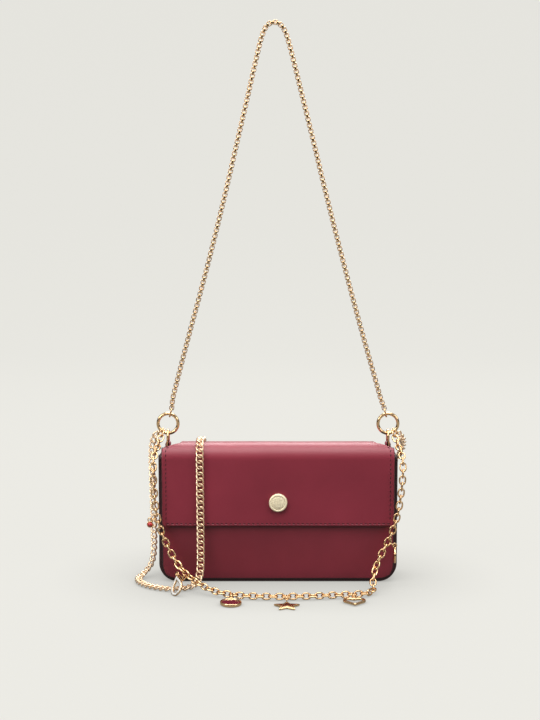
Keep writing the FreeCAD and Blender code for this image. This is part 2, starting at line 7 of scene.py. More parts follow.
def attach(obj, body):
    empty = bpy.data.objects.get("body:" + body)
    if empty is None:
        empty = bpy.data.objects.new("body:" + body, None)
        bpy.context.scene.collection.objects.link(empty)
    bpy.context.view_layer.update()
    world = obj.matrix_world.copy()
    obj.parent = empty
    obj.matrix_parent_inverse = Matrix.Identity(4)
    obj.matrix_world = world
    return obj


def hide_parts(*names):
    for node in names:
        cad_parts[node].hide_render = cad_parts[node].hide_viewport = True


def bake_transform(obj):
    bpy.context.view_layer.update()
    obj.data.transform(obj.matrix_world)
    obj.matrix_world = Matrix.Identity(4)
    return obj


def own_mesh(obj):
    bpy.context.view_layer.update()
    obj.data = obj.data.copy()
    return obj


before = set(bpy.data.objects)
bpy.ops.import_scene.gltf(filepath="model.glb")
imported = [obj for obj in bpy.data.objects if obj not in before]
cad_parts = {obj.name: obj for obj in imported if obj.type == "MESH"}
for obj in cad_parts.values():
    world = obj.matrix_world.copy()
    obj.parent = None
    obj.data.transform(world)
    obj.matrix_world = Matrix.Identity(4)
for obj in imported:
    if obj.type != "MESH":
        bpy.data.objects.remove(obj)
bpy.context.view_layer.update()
scene = bpy.context.scene
mm = 0.001
front, back = Vector((0, -1, 0)), Vector((0, 1, 0))
right, up, down = Vector((1, 0, 0)), Vector((0, 0, 1)), Vector((0, 0, -1))
print("frame loaded:", len(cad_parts), "nodes")


# Helpers

def spread(low, high, steps):  # even steps, both ends included
    return [low + (high - low) * step / steps for step in range(steps + 1)]


def addObject(name, data):
    thing = bpy.data.objects.new(name, data)
    scene.collection.objects.link(thing)
    return thing


def addNode(tree, kind, values=(), **settings):  # a value is a constant or another node's output
    node = tree.nodes.new(kind)
    for key, value in settings.items():
        setattr(node, key, value)
    for key, value in values:
        if hasattr(value, "is_linked"):
            tree.links.new(value, node.inputs[key])
        else:
            node.inputs[key].default_value = value
    return node


def remap(tree, source, low, high, fromLow=0.0, fromHigh=1.0):
    values = enumerate((source, fromLow, fromHigh, low, high))
    return addNode(tree, "ShaderNodeMapRange", values).outputs[0]


def mathNode(tree, operation, one, two):
    return addNode(tree, "ShaderNodeMath", [(0, one), (1, two)], operation=operation).outputs[0]


def mixColours(tree, factor, dark, light):
    dark, light = [(*colour, 1) if isinstance(colour, tuple) else colour for colour in (dark, light)]
    values = [("Factor", factor), (6, dark), (7, light)]
    return addNode(tree, "ShaderNodeMix", values, data_type="RGBA").outputs[2]


def emptyTree(holder):
    holder.use_nodes = True
    holder.node_tree.nodes.clear()
    return holder.node_tree


# Camera, floor and light

cameraSet = {"place": (-0.0069, -1.277, 0.364), "aim": (-0.0069, -0.027, 0.194), "lens": 75.0}
floorSet = {"half": 3.0, "front": -3.0, "bend": 1.4, "radius": 0.9, "top": 3.2, "steps": 24,
            "colour": (0.815, 0.807, 0.760), "glow": 0.94, "albedo": 0.045, "shade": 0.45, "reach": 0.10,
            "mirrored": 0.5}
lampSet = [  # name, place, aim, size, watts, colour
    ("topBox", (0.05, -0.45, 1.75), (0.0, 0.0, 0.1), 1.5, 34.0, (1.0, 0.985, 0.96)),
    ("backBox", (0.1, 1.05, 1.15), (0.0, 0.0, 0.12), 0.9, 18.0, (1.0, 0.985, 0.97)),
    ("leftBox", (-1.3, -1.1, 1.0), (0.0, 0.0, 0.15), 0.9, 16.0, (1.0, 0.98, 0.95)),
    ("rightBox", (1.5, -1.0, 0.9), (0.0, 0.0, 0.15), 0.8, 10.0, (1.0, 0.99, 0.98)),
]
worldSet = {"strength": 0.75, "ramp": [(0.30, (0.045, 0.040, 0.036)), (0.8, (0.92, 0.91, 0.88))]}


def aimAt(thing, spot, aim):
    thing.location = spot
    thing.rotation_euler = (Vector(aim) - Vector(spot)).to_track_quat("-Z", "Y").to_euler()


def makeCamera():
    data = bpy.data.cameras.new("camera")
    data.lens = cameraSet["lens"]
    scene.camera = addObject("camera", data)
    aimAt(scene.camera, cameraSet["place"], cameraSet["aim"])


def floorMaterial():
    material = bpy.data.materials.new("paleFloor")
    tree = emptyTree(material)
    rays = addNode(tree, "ShaderNodeLightPath").outputs
    contact = addNode(tree, "ShaderNodeAmbientOcclusion", [("Distance", floorSet["reach"])])
    mirrored = mathNode(tree, "MULTIPLY", rays["Is Glossy Ray"], floorSet["mirrored"])
    seen = mathNode(tree, "MAXIMUM", rays["Is Camera Ray"], mirrored)
    shade = remap(tree, contact.outputs["AO"], floorSet["glow"] * floorSet["shade"], floorSet["glow"])
    albedo = [part * floorSet["albedo"] for part in floorSet["colour"]]
    matte = addNode(tree, "ShaderNodeBsdfDiffuse", [("Color", (*albedo, 1))])
    glow = addNode(tree, "ShaderNodeEmission", [("Color", (*floorSet["colour"], 1)),
                                                ("Strength", mathNode(tree, "MULTIPLY", seen, shade))])
    both = addNode(tree, "ShaderNodeAddShader", [(0, matte.outputs[0]), (1, glow.outputs[0])])
    addNode(tree, "ShaderNodeOutputMaterial", [("Surface", both.outputs[0])])
    return material


def makeFloor():
    bend, radius = floorSet["bend"], floorSet["radius"]
    profile = [(floorSet["front"], 0.0)]
    for turn in spread(0.0, math.pi / 2, floorSet["steps"]):  # a soft sweep from the floor to the backdrop
        profile.append((bend + radius * math.sin(turn), radius * (1 - math.cos(turn))))
    profile.append((bend + radius, floorSet["top"]))
    verts = [(side * floorSet["half"], y, z) for y, z in profile for side in (-1, 1)]
    faces = [(2 * i, 2 * i + 1, 2 * i + 3, 2 * i + 2) for i in range(len(profile) - 1)]
    mesh = bpy.data.meshes.new("floor")
    mesh.from_pydata(verts, [], faces)
    mesh.polygons.foreach_set("use_smooth", [True] * len(faces))
    mesh.materials.append(floorMaterial())
    addObject("floor", mesh)


def makeLight():
    for name, spot, aim, size, watts, colour in lampSet:
        data = bpy.data.lights.new(name, "AREA")
        data.shape = "SQUARE"
        data.size = size
        data.energy = watts
        data.color = colour
        aimAt(addObject(name, data), spot, aim)
    scene.world = bpy.data.worlds.new("room")
    tree = emptyTree(scene.world)
    way = addNode(tree, "ShaderNodeTexCoord").outputs["Generated"]
    split = addNode(tree, "ShaderNodeSeparateXYZ", [(0, way)])
    ramp = addNode(tree, "ShaderNodeValToRGB", [(0, split.outputs["Z"])])
    for index, (spot, colour) in enumerate(worldSet["ramp"]):
        ramp.color_ramp.elements[index].position = spot
        ramp.color_ramp.elements[index].color = (*colour, 1)
    shades = [addNode(tree, "ShaderNodeBackground", [("Color", colour), ("Strength", strength)])
              for colour, strength in ((ramp.outputs[0], worldSet["strength"]),
                                       ((*floorSet["colour"], 1), floorSet["glow"]))]
    rays = addNode(tree, "ShaderNodeLightPath").outputs["Is Camera Ray"]
    sources = [rays, *(shade.outputs[0] for shade in shades)]
    mix = addNode(tree, "ShaderNodeMixShader", enumerate(sources))
    addNode(tree, "ShaderNodeOutputWorld", [("Surface", mix.outputs[0])])
    scene.view_settings.view_transform = "Standard"


makeCamera()
makeFloor()
makeLight()
print("camera, floor and light made")


# Shared surface effects

grainSet = {"pores": 2400.0, "poreDepth": 0.35, "folds": 70.0, "toneShare": 0.5}
polishSet = {"marks": 420.0, "hairs": 2600.0, "worn": 0.93, "hollow": 0.5}


def newGroup(name, **inputs):
    group = bpy.data.node_groups.new(name, "ShaderNodeTree")
    for label, value in inputs.items():
        socket = group.interface.new_socket(name=label, in_out="INPUT", socket_type="NodeSocketFloat")
        socket.default_value = value
    return group, addNode(group, "NodeGroupInput").outputs


def closeGroup(group, **outputs):
    for label in outputs:
        group.interface.new_socket(name=label, in_out="OUTPUT", socket_type="NodeSocketFloat")
    addNode(group, "NodeGroupOutput", outputs.items())
    return group


def texture(group, kind, values, **settings):  # set in the piece's own frame
    where = addNode(group, "ShaderNodeTexCoord").outputs["Object"]
    return addNode(group, "ShaderNodeTex" + kind, [("Vector", where), *values], **settings).outputs


def makeGrainGroup():  # fine pebbled hide: cells, pores and faint creases
    group, start = newGroup("hideGrain", Cells=900.0, Crease=0.3)
    cells = texture(group, "Voronoi", [("Scale", start["Cells"])], feature="SMOOTH_F1")["Distance"]
    pores = texture(group, "Noise", [("Scale", grainSet["pores"]), ("Detail", 2.0)])["Fac"]
    folds = texture(group, "Noise", [("Scale", grainSet["folds"]), ("Detail", 4.0),
                                     ("Distortion", 0.6)])["Fac"]
    pebble = remap(group, cells, 1.0, 0.0, 0.0, 0.9)
    fine = mathNode(group, "MULTIPLY", pores, grainSet["poreDepth"])
    crease = mathNode(group, "MULTIPLY", folds, start["Crease"])
    height = mathNode(group, "ADD", mathNode(group, "ADD", pebble, fine), crease)
    tones = [mathNode(group, "MULTIPLY", part, grainSet["toneShare"]) for part in (pebble, folds)]
    return closeGroup(group, Height=height, Tone=mathNode(group, "ADD", *tones))


def makeDriftGroup():  # slow change of tone over a surface
    group, start = newGroup("slowDrift", Scale=20.0, Low=0.0, High=1.0)
    cloud = texture(group, "Noise", [("Detail", 3.0), ("Roughness", 0.55), ("Scale", start["Scale"])])["Fac"]
    return closeGroup(group, Value=remap(group, cloud, start["Low"], start["High"], 0.3, 0.7))


def makePolishAndShadeGroup():  # plated metal: hairlines, handling marks, and painted shade that darkens the hollows
    group, start = newGroup("polishAndHollowShade", Low=0.1, High=0.25)
    marks = texture(group, "Noise", [("Scale", polishSet["marks"]), ("Detail", 4.0)])["Fac"]
    hairs = texture(group, "Noise", [("Scale", polishSet["hairs"]), ("Detail", 1.0)])["Fac"]
    pointed = addNode(group, "ShaderNodeNewGeometry").outputs["Pointiness"]
    return closeGroup(group, Roughness=remap(group, marks, start["Low"], start["High"], 0.3, 0.75),
                      Hollow=remap(group, pointed, 1.0, 0.0, 0.36, 0.44), Height=hairs)


def makeWeaveGroup():  # plain weave of the lining cloth
    group, start = newGroup("plainWeave", Threads=1500.0)
    values = [("Distortion", 0.3), ("Scale", start["Threads"])]
    checks = [texture(group, "Wave", values, bands_direction=way)["Fac"] for way in ("X", "Z")]
    height = mathNode(group, "MULTIPLY", *checks)
    return closeGroup(group, Height=height, Tone=remap(group, height, 0.7, 1.1))


hideGrain = makeGrainGroup()
slowDrift = makeDriftGroup()
polishAndHollowShade = makePolishAndShadeGroup()
plainWeave = makeWeaveGroup()


def newMaterial(name, **sockets):
    material = bpy.data.materials.new(name)
    material.use_nodes = True
    shader = material.node_tree.nodes["Principled BSDF"]
    for key, value in sockets.items():
        shader.inputs[key.replace("_", " ")].default_value = value
    return material, material.node_tree, shader


def useGroup(tree, group, **values):
    return addNode(tree, "ShaderNodeGroup", values.items(), node_tree=group).outputs


def dress(tree, shader, colour, roughness, height, strength, distance):
    bump = addNode(tree, "ShaderNodeBump", [("Strength", strength), ("Distance", distance),
                                            ("Height", height)])
    tree.links.new(colour, shader.inputs["Base Color"])
    tree.links.new(roughness, shader.inputs["Roughness"])
    tree.links.new(bump.outputs["Normal"], shader.inputs["Normal"])


def leatherMaterial(name, dark, light, rough, bump, coat):
    material, tree, shader = newMaterial(name, Specular_IOR_Level=0.5, Coat_Weight=coat, Coat_Roughness=0.36)
    grain = useGroup(tree, hideGrain, Cells=950.0, Crease=0.45)
    drift = useGroup(tree, slowDrift, Scale=16.0, Low=0.15, High=0.85)
    factor = mathNode(tree, "MULTIPLY", drift["Value"], remap(tree, grain["Tone"], 0.7, 1.25))
    roughness = remap(tree, grain["Tone"], rough[1], rough[0], 0.2, 0.8)
    dress(tree, shader, mixColours(tree, factor, dark, light), roughness, grain["Height"], bump,
          distance=0.00018)
    return material


def goldMaterial(name, dark, light, rough, metallic=1.0):
    material, tree, shader = newMaterial(name, Metallic=metallic)
    polish = useGroup(tree, polishAndHollowShade, Low=rough[0], High=rough[1])
    drift = useGroup(tree, slowDrift, Scale=120.0, Low=0.0, High=1.0)
    body = mixColours(tree, drift["Value"], light, tuple(part * polishSet["worn"] for part in light))
    # the hollows are mixed towards the dark colour: painted shade
    hollow = mathNode(tree, "MULTIPLY", polish["Hollow"], polishSet["hollow"])
    colour = mixColours(tree, hollow, body, dark)
    dress(tree, shader, colour, polish["Roughness"], polish["Height"], strength=0.06, distance=0.00004)
    return material


def enamelMaterial(name, dark, light):
    material, tree, shader = newMaterial(name, Specular_IOR_Level=0.5, Coat_Weight=0.8, Coat_Roughness=0.05)
    drift = useGroup(tree, slowDrift, Scale=260.0, Low=0.1, High=0.9)["Value"]
    colour, roughness = mixColours(tree, drift, dark, light), remap(tree, drift, 0.12, 0.2)
    dress(tree, shader, colour, roughness, drift, strength=0.08, distance=0.0001)
    return material


def clothMaterial(name, dark, light):
    material, tree, shader = newMaterial(name, Sheen_Weight=0.2, Sheen_Roughness=0.5, Specular_IOR_Level=0.2)
    weave = useGroup(tree, plainWeave, Threads=900.0)
    drift = useGroup(tree, slowDrift, Scale=24.0, Low=0.0, High=1.0)
    tint = mathNode(tree, "MULTIPLY", weave["Tone"], drift["Value"])
    roughness = remap(tree, weave["Tone"], 0.95, 0.8)
    dress(tree, shader, mixColours(tree, tint, dark, light), roughness, weave["Height"],
          strength=0.4, distance=0.0002)
    return material


finishes = {
    "leather": leatherMaterial("wineLeather", (0.204, 0.017, 0.034), (0.282, 0.027, 0.050),
                               rough=(0.40, 0.54), bump=0.10, coat=0.10),
    # painted shade: a darker copy of the flap's wine leather, used on the panels and the gusset
    "shadedBodyLeather": leatherMaterial("shadedBodyLeather", (0.158, 0.014, 0.026), (0.222, 0.022, 0.039),
                                   rough=(0.34, 0.46), bump=0.10, coat=0.05),
    # near-black edge paint; on the panels' rolled edges and the gusset's edges it is also painted shade
    "edge": leatherMaterial("edgePaintAndShade", (0.019, 0.003, 0.005), (0.035, 0.005, 0.008),
                            rough=(0.48, 0.62), bump=0.05, coat=0.0),
    "thread": clothMaterial("wineThread", (0.030, 0.004, 0.008), (0.075, 0.010, 0.018)),
    # painted highlight: pale thread for the light on the leather between the front stitches
    "highlightThread": clothMaterial("highlightThread", (0.26, 0.06, 0.085), (0.42, 0.13, 0.16)),
    "lining": clothMaterial("liningCloth", (0.060, 0.012, 0.018), (0.105, 0.024, 0.034)),
    "board": clothMaterial("baseBoard", (0.16, 0.14, 0.12), (0.26, 0.24, 0.21)),
    "gold": goldMaterial("lightGold", (0.08, 0.028, 0.010), (0.86, 0.59, 0.325), rough=(0.11, 0.25)),
    # paler gold for the curb chain, made partly diffuse so that its mid-tones look more lit: partly painted
    # light
    "litPaleGold": goldMaterial("litPaleGold", (0.16, 0.065, 0.026), (0.96, 0.73, 0.50),
                             rough=(0.12, 0.26), metallic=0.62),
    # satin roughness with a nearly white, mostly diffuse colour for the snap cap: painted reflection that
    # keeps it evenly bright
    "goldSatinLit": goldMaterial("satinGoldLit", (0.42, 0.30, 0.17), (1.0, 0.89, 0.63),
                              rough=(0.22, 0.36), metallic=0.12),
    "steel": goldMaterial("platedSteel", (0.10, 0.10, 0.10), (0.55, 0.55, 0.55), rough=(0.2, 0.4)),
    "wineEnamel": enamelMaterial("wineEnamel", (0.11, 0.010, 0.020), (0.17, 0.018, 0.032)),
    "whiteEnamel": enamelMaterial("whiteEnamel", (0.74, 0.73, 0.70), (0.82, 0.81, 0.78)),
    "redEnamel": enamelMaterial("redEnamel", (0.42, 0.012, 0.018), (0.56, 0.022, 0.026)),
}
print("materials made:", len(finishes))


# Mesh helpers

def addPiece(name, verts, faces, finishNames, kinds=None):
    mesh = bpy.data.meshes.new(name)
    mesh.from_pydata([tuple(vert) for vert in verts], [], faces)
    for finish in finishNames:
        mesh.materials.append(finishes[finish])
    mesh.polygons.foreach_set("use_smooth", [True] * len(mesh.polygons))
    if kinds:
        mesh.polygons.foreach_set("material_index", kinds)
    mesh.validate()
    mesh.update()
    return addObject(name, mesh)


def place(piece, body, slot, *replaced):
    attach(piece, body)
    if replaced:
        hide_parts(*replaced)
    return piece


def stretch(piece, body, slot, start, end, *replaced):  # hides the replaced nodes and bakes the piece's place into its mesh
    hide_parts(*replaced)
    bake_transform(piece)


def gridFaces(rows, columns, base=0, closed=False, flip=False):
    faces = []
    for row in range(rows - 1):
        low, high = base + row * columns, base + (row + 1) * columns
        for column in range(columns if closed else columns - 1):
            after = (column + 1) % columns
            quad = (low + column, low + after, high + after, high + column)
            faces.append(quad[::-1] if flip else quad)
    return faces


def smoothStep(value, low, high):
    share = min(1.0, max(0.0, (value - low) / (high - low)))
    return share * share * (3 - 2 * share)


def turns(steps, offset=0.0):  # even steps of a full turn
    return [2 * math.pi * (step + offset) / steps for step in range(steps)]


def bulge(value, power):  # a cosine or sine pressed towards a rounded square
    return math.copysign(abs(value) ** (2 / power), value)


def roundSection(sides, width, height, power=2.0):
    return [(bulge(math.cos(turn), power) * width / 2, bulge(math.sin(turn), power) * height / 2)
            for turn in turns(sides, 0.5)]


class Builder:  # gathers many small shapes into one mesh
    def __init__(self):
        self.verts = []
        self.faces = []

    def loop(self, points, normal, section):  # closed tube along a closed row of points
        rows = []
        for index, point in enumerate(points):
            along = (points[(index + 1) % len(points)] - points[index - 1]).normalized()
            across = along.cross(normal).normalized()
            rise = across.cross(along)
            rows.append([point + across * u + rise * v for u, v in section])
        self.ring(rows)

    def ring(self, rows):  # closed rings of points, the last joined to the first
        base, columns, count = len(self.verts), len(rows[0]), len(rows) * len(rows[0])
        for row in rows:
            self.verts.extend(row)
        for face in gridFaces(len(rows) + 1, columns, closed=True):
            self.faces.append(tuple(base + index % count for index in face))

    def grid(self, rows):  # closed rings of points, capped at both ends
        base, columns = len(self.verts), len(rows[0])
        for row in rows:
            self.verts.extend(row)
        self.faces.extend(gridFaces(len(rows), columns, base, closed=True))
        cap = range(base, base + columns)
        self.faces.append(tuple(cap)[::-1])
        self.faces.append(tuple(index + (len(rows) - 1) * columns for index in cap))

    def piece(self, name, finish):
        return addPiece(name, self.verts, self.faces, [finish])


def shellPiece(name, rows, rim, finishNames):  # the second finish is on the rim's columns and both ends
    builder = Builder()
    builder.grid(rows)
    columns = len(rows[0])
    kinds = [int(column in rim) for row in rows[1:] for column in range(columns)] + [1, 1]
    return addPiece(name, builder.verts, builder.faces, finishNames, kinds)


def runLengths(points):  # length along the row up to each point
    lengths = [0.0]
    for one, two in zip(points, points[1:]):
        lengths.append(lengths[-1] + (two - one).length)
    return lengths


def findRun(lengths, want):  # the run that holds a length, and the share of it before that length
    run = max(i for i in range(len(lengths) - 1) if lengths[i] <= want)
    return run, (want - lengths[run]) / (lengths[run + 1] - lengths[run])


# Chains

strapChain = {
    "pitch": 2.55, "width": 4.3, "wire": 0.78, "band": 2.1, "play": 0.24, "square": 5.0, "twist": 0.0,
    "steps": 20, "sides": 8, "sectionPower": 3.6, "rolls": (0, 90), "finish": "gold",
    "route": [  # way that the links face, then the points, in mm
        (front, (-91.86, 0.0, 147.61), (-91.24, 0.0, 150.09), (-91.2, 0.0, 155.5), (-86.6, 0.0, 173.0),
         (-77.6, 0.0, 207.6), (-68.0, 0.0, 242.1), (-58.8, 0.0, 276.3), (-50.2, 0.0, 310.2),
         (-42.0, 0.0, 343.9), (-34.2, 0.0, 377.4), (-26.3, 0.0, 410.6), (-18.7, 0.0, 443.6),
         (-14.8, 0.0, 460.0), (-11.2, 0.0, 470.2), (-6.4, 0.0, 474.6), (-0.4, 0.0, 474.6), (4.6, 0.0, 470.2),
         (8.4, 0.0, 460.0), (12.7, 0.0, 443.6),
         (21.0, 0.0, 410.6), (29.4, 0.0, 377.4), (37.6, 0.0, 343.9), (46.1, 0.0, 310.2), (55.0, 0.0, 276.3),
         (64.2, 0.0, 242.1), (73.8, 0.0, 207.6), (83.9, 0.0, 173.0), (88.8, 0.0, 155.5), (91.24, 0.0, 150.09),
         (91.86, 0.0, 147.61)),
    ],
}
curbChain = {
    "pitch": 5.0, "width": 7.0, "wire": 1.46, "band": 1.5, "play": 0.62, "square": 2.3, "twist": 1.08,
    "steps": 24, "sides": 8, "sectionPower": 2.0, "rolls": (0, 0), "finish": "litPaleGold",
    "route": [
        (right + back, (-103.9, 1.86, 126.1), (-107.11, 3.97, 122.89), (-109.2, 5.4, 117.0),
         (-110.0, 6.2, 106.0), (-109.8, 6.0, 92.0), (-109.4, 5.4, 74.0), (-108.6, 4.4, 50.0),
         (-108.2, 2.6, 30.0)),
        (right * 3 + back * 2 + down, (-108.6, 0.6, 17.0)),
        (right * 2 + back + down * 2, (-111.4, -1.6, 8.4)),
        (right + down * 3, (-117.4, -6.4, 3.4)),
        (down, (-121.4, -18.5, 2.4), (-117.5, -32.5, 2.2), (-106.5, -44.0, 2.2), (-92.0, -50.0, 2.2),
         (-78.0, -49.0, 2.4), (-69.0, -41.5, 4.0)),
        (down + back, (-66.2, -32.2, 12.0)),
        (back, (-66.0, -29.2, 28.0), (-66.1, -28.8, 58.0), (-66.3, -28.8, 88.0), (-66.4, -28.8, 105.0),
         (-66.5, -28.8, 115.4)),
        (back + down, (-66.8, -21.5, 122.8)),
        (down, (-66.8, -11.5, 123.1), (-66.9, 0.0, 121.2), (-66.7, 12.0, 119.3)),
        (down + front, (-66.4, 21.0, 118.4)),
        (front, (-65.6, 25.2, 112.9), (-63.6, 25.3, 98.0), (-58.0, 25.4, 76.0), (-45.0, 25.6, 55.0),
         (-25.0, 25.6, 41.0), (0.0, 25.6, 35.5), (25.0, 25.6, 38.0), (48.0, 25.8, 47.0), (69.0, 26.4, 61.0)),
        (front * 3 + right, (88.0, 28.0, 79.0)),
        (front * 2 + right, (102.0, 28.6, 95.0)),
        (front + right, (109.4, 20.6, 107.0), (109.8, 9.8, 116.6), (107.11, 3.97, 122.89),
         (103.9, 1.86, 126.1)),
    ],
}
cableChain = {
    "pitch": 5.5, "width": 6.4, "wire": 1.45, "band": 1.45, "play": 0.35, "square": 2.4, "twist": 0.0,
    "steps": 22, "sides": 8, "sectionPower": 2.0, "rolls": (90, 0), "finish": "gold",
    "route": [
        (right, (-100.62, -2.83, 124.43), (-102.6, -6.36, 120.71), (-103.2, -12.6, 116.4),
         (-105.2, -20.6, 113.4), (-106.0, -28.0, 107.0), (-105.8, -31.4, 97.0), (-105.2, -32.0, 84.0),
         (-104.0, -32.0, 66.0), (-100.0, -32.4, 48.0), (-93.0, -34.0, 33.0)),
        (right + up, (-85.5, -39.5, 20.5)),
        (up, (-76.0, -48.5, 13.0), (-65.0, -58.0, 8.0), (-51.0, -66.5, 4.2), (-34.0, -72.5, 3.4),
         (-12.0, -75.5, 3.4), (12.0, -75.5, 3.4), (34.0, -73.5, 3.4), (51.0, -70.5, 3.4), (63.5, -69.0, 3.4),
         (75.5, -66.0, 3.4), (80.5, -57.5, 3.8), (79.5, -47.5, 7.5)),
        (up + right, (82.5, -38.5, 18.0)),
        (right, (89.5, -33.6, 31.0), (96.5, -32.2, 45.0), (102.0, -32.0, 62.0), (104.8, -32.0, 84.0),
         (105.8, -31.4, 97.0), (106.0, -28.0, 107.0), (105.2, -20.6, 113.4), (103.2, -12.6, 116.4),
         (102.6, -6.36, 120.71), (100.62, -2.83, 124.43)),
    ],
}
endLink = {"pitch": 6.0, "width": 7.0, "wire": 1.4, "band": 1.4, "play": 0.2, "square": 2.4, "twist": 0.0,
           "steps": 24, "sides": 10, "sectionPower": 2.0}


def splinePoints(corners):  # points read from the route's own smooth spline
    curve = bpy.data.curves.new("route", "CURVE")
    curve.dimensions = "3D"
    curve.resolution_u = 16
    spline = curve.splines.new("NURBS")
    spline.points.add(len(corners) - 1)
    for point, (x, y, z) in zip(spline.points, corners):
        point.co = (x * mm, y * mm, z * mm, 1)
    spline.order_u = 3
    spline.use_endpoint_u = True
    holder = addObject("route", curve)
    mesh = bpy.data.meshes.new_from_object(holder)
    points = [vert.co.copy() for vert in mesh.vertices]
    bpy.data.objects.remove(holder)
    bpy.data.curves.remove(curve)
    bpy.data.meshes.remove(mesh)
    return points


def evenPoints(points, count):
    lengths = runLengths(points)
    stops = []
    for want in spread(0.0, lengths[-1], count):
        run, share = findRun(lengths, want)
        stops.append(points[run].lerp(points[run + 1], share))
    return stops


def chainFrames(chain):  # the spline, and for each link its two ends and the normal of its plane
    rows = [(corner, facing.normalized()) for facing, *corners in chain["route"] for corner in corners]
    points = splinePoints([corner for corner, facing in rows])
    count = 2 * int(runLengths(points)[-1] / (chain["pitch"] * mm) / 2) + 1
    stops = evenPoints(points, count)
    lengths = runLengths([Vector(corner) for corner, facing in rows])
    frames = []
    for index, (start, end) in enumerate(zip(stops, stops[1:])):
        run, share = findRun(lengths, (index + 0.5) / count * lengths[-1])
        facing = rows[run][1].lerp(rows[run + 1][1], share)
        along = (end - start).normalized()
        normal = (facing - along * facing.dot(along)).normalized()
        frames.append((start, end, Quaternion(along, math.radians(chain["rolls"][index % 2])) @ normal))
    return points, frames


def addLink(builder, start, end, normal, link):  # a link with no pitch reaches from start to end
    along = (end - start).normalized()
    across = along.cross(normal).normalized()
    centre = (start + end) / 2
    pitch = link["pitch"] * mm if "pitch" in link else (end - start).length
    halfLength = (pitch + (link["play"] + link["wire"]) * mm) / 2
    halfWidth = (link["width"] - link["wire"]) * mm / 2
    points = []
    for turn in turns(link["steps"], 0.5):
        lift = link["twist"] * mm * math.sin(2 * turn)  # the curb's set, so that its links lie flat
        points.append(centre + along * bulge(math.cos(turn), link["square"]) * halfLength
                      + across * bulge(math.sin(turn), link["square"]) * halfWidth + normal * lift)
    builder.loop(points, normal, roundSection(link["sides"], link["wire"] * mm, link["band"] * mm,
                                              link["sectionPower"]))


def chainPiece(name, frames, chain):
    builder = Builder()
    for start, end, normal in frames:
        addLink(builder, start, end, normal, chain)
    return builder.piece(name, chain["finish"])


def makeEndLinks(name, node, start, fall, normal):  # the larger link at each end of a chain, left then right
    made = []
    for side, label in ((-1, "Left"), (1, "Right")):
        point, way, facing = [Vector((side * x, y, z)) for x, y, z in (start, fall, normal)]
        builder = Builder()
        addLink(builder, point * mm, (point + way * endLink["pitch"]) * mm, facing, endLink)
        made.append(place(builder.piece(name + label, "gold"), "strap", "gold_chain", node))
    return made


def firstLink(frames, start, test):  # the first link from start on whose near end passes the test, in mm
    return next(index for index in range(start, len(frames)) if test(frames[index][0] / mm))


strapPoints, strapFrames = chainFrames(strapChain)
strapPiece = chainPiece("shoulderChain", strapFrames, strapChain)
place(strapPiece, "strap", "gold_chain", "shoulder_chain_left", "shoulder_chain_crown",
      "shoulder_chain_right")
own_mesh(strapPiece)
strapEnds = makeEndLinks("shoulderChainEndLinks", "shoulder_chain_end_links",
                         (93.31, 0.0, 141.79), (-0.242, 0.0, 0.97), (-0.97, 0.0, -0.242))

curbPoints, curbFrames = chainFrames(curbChain)
sideEnd = firstLink(curbFrames, 0, lambda point: point.z < 9.0)
loopEnd = firstLink(curbFrames, sideEnd, lambda point: point.x > -70.5)
flapStart = firstLink(curbFrames, loopEnd, lambda point: point.z > 57.0)
flapTop = firstLink(curbFrames, flapStart, lambda point: point.y > 0.0)
foldEnd = firstLink(curbFrames, flapTop, lambda point: point.z < 95.0)
curbCuts = [0, sideEnd, loopEnd, flapStart, flapTop, foldEnd, len(curbFrames)]
curbNames = ["crossbodySide", "crossbodyLoop", "crossbodyRise", "crossbodyFlapRun", "crossbodyFold",
             "crossbodyBackRun"]
curbPieces = [chainPiece(name, curbFrames[low:high], curbChain)
              for name, low, high in zip(curbNames, curbCuts, curbCuts[1:])]
sidePiece, loopPiece, risePiece, flapRunPiece, foldPiece, backRunPiece = curbPieces
place(flapRunPiece, "flap", "gold_chain", "crossbody_front_run")
loopWay = Vector((0.932, -0.362, 0.0))
loopStart, riseStart = curbFrames[sideEnd][0], curbFrames[loopEnd][0]
loopFull = loopStart + loopWay * 2 * (riseStart - loopStart).dot(loopWay)
riseFull = riseStart + up * (0.057 - riseStart.z)
stretch(sidePiece, "strap", "gold_chain", (-0.109, 0.004, 0.104), (-0.109, 0.004, 0.1235),
        "crossbody_side_run")
stretch(loopPiece, "flap", "gold_chain", loopStart, loopFull, "crossbody_floor_loop")
stretch(risePiece, "flap", "gold_chain", 2 * riseStart - riseFull, riseFull, "crossbody_front_run")
stretch(foldPiece, "flap", "gold_chain", (-0.066, 0.0252, 0.1129), (-0.066, 0.0151, 0.1176),
        "crossbody_back_run")
stretch(backRunPiece, "strap", "gold_chain", (0.1094, 0.0206, 0.1070), (0.1094, 0.0056, 0.1270),
        "crossbody_back_run")
curbEnds = makeEndLinks("crossbodyEndLinks", "crossbody_end_links",
                        (100.06, -0.68, 129.94), (0.641, 0.423, -0.641), (0.707, 0.0, 0.707))

cablePoints, cableFrames = chainFrames(cableChain)
cablePiece = chainPiece("charmChain", cableFrames, cableChain)
stretch(cablePiece, "strap", "gold_chain", (0, -0.0206, 0.1134), (0, -0.0062, 0.1242),
        "charm_chain_left", "charm_chain_floor", "charm_chain_right")
cableEnds = makeEndLinks("charmChainEndLinks", "charm_chain_end_links",
                         (98.46, 1.03, 128.49), (0.36, -0.643, -0.676), (0.883, 0.0, 0.469))

print("chains made:", len(strapFrames), len(curbFrames), len(cableFrames), "links")


# Charms: each is made with its eye at the origin, the hole along Z and the charm towards -Y

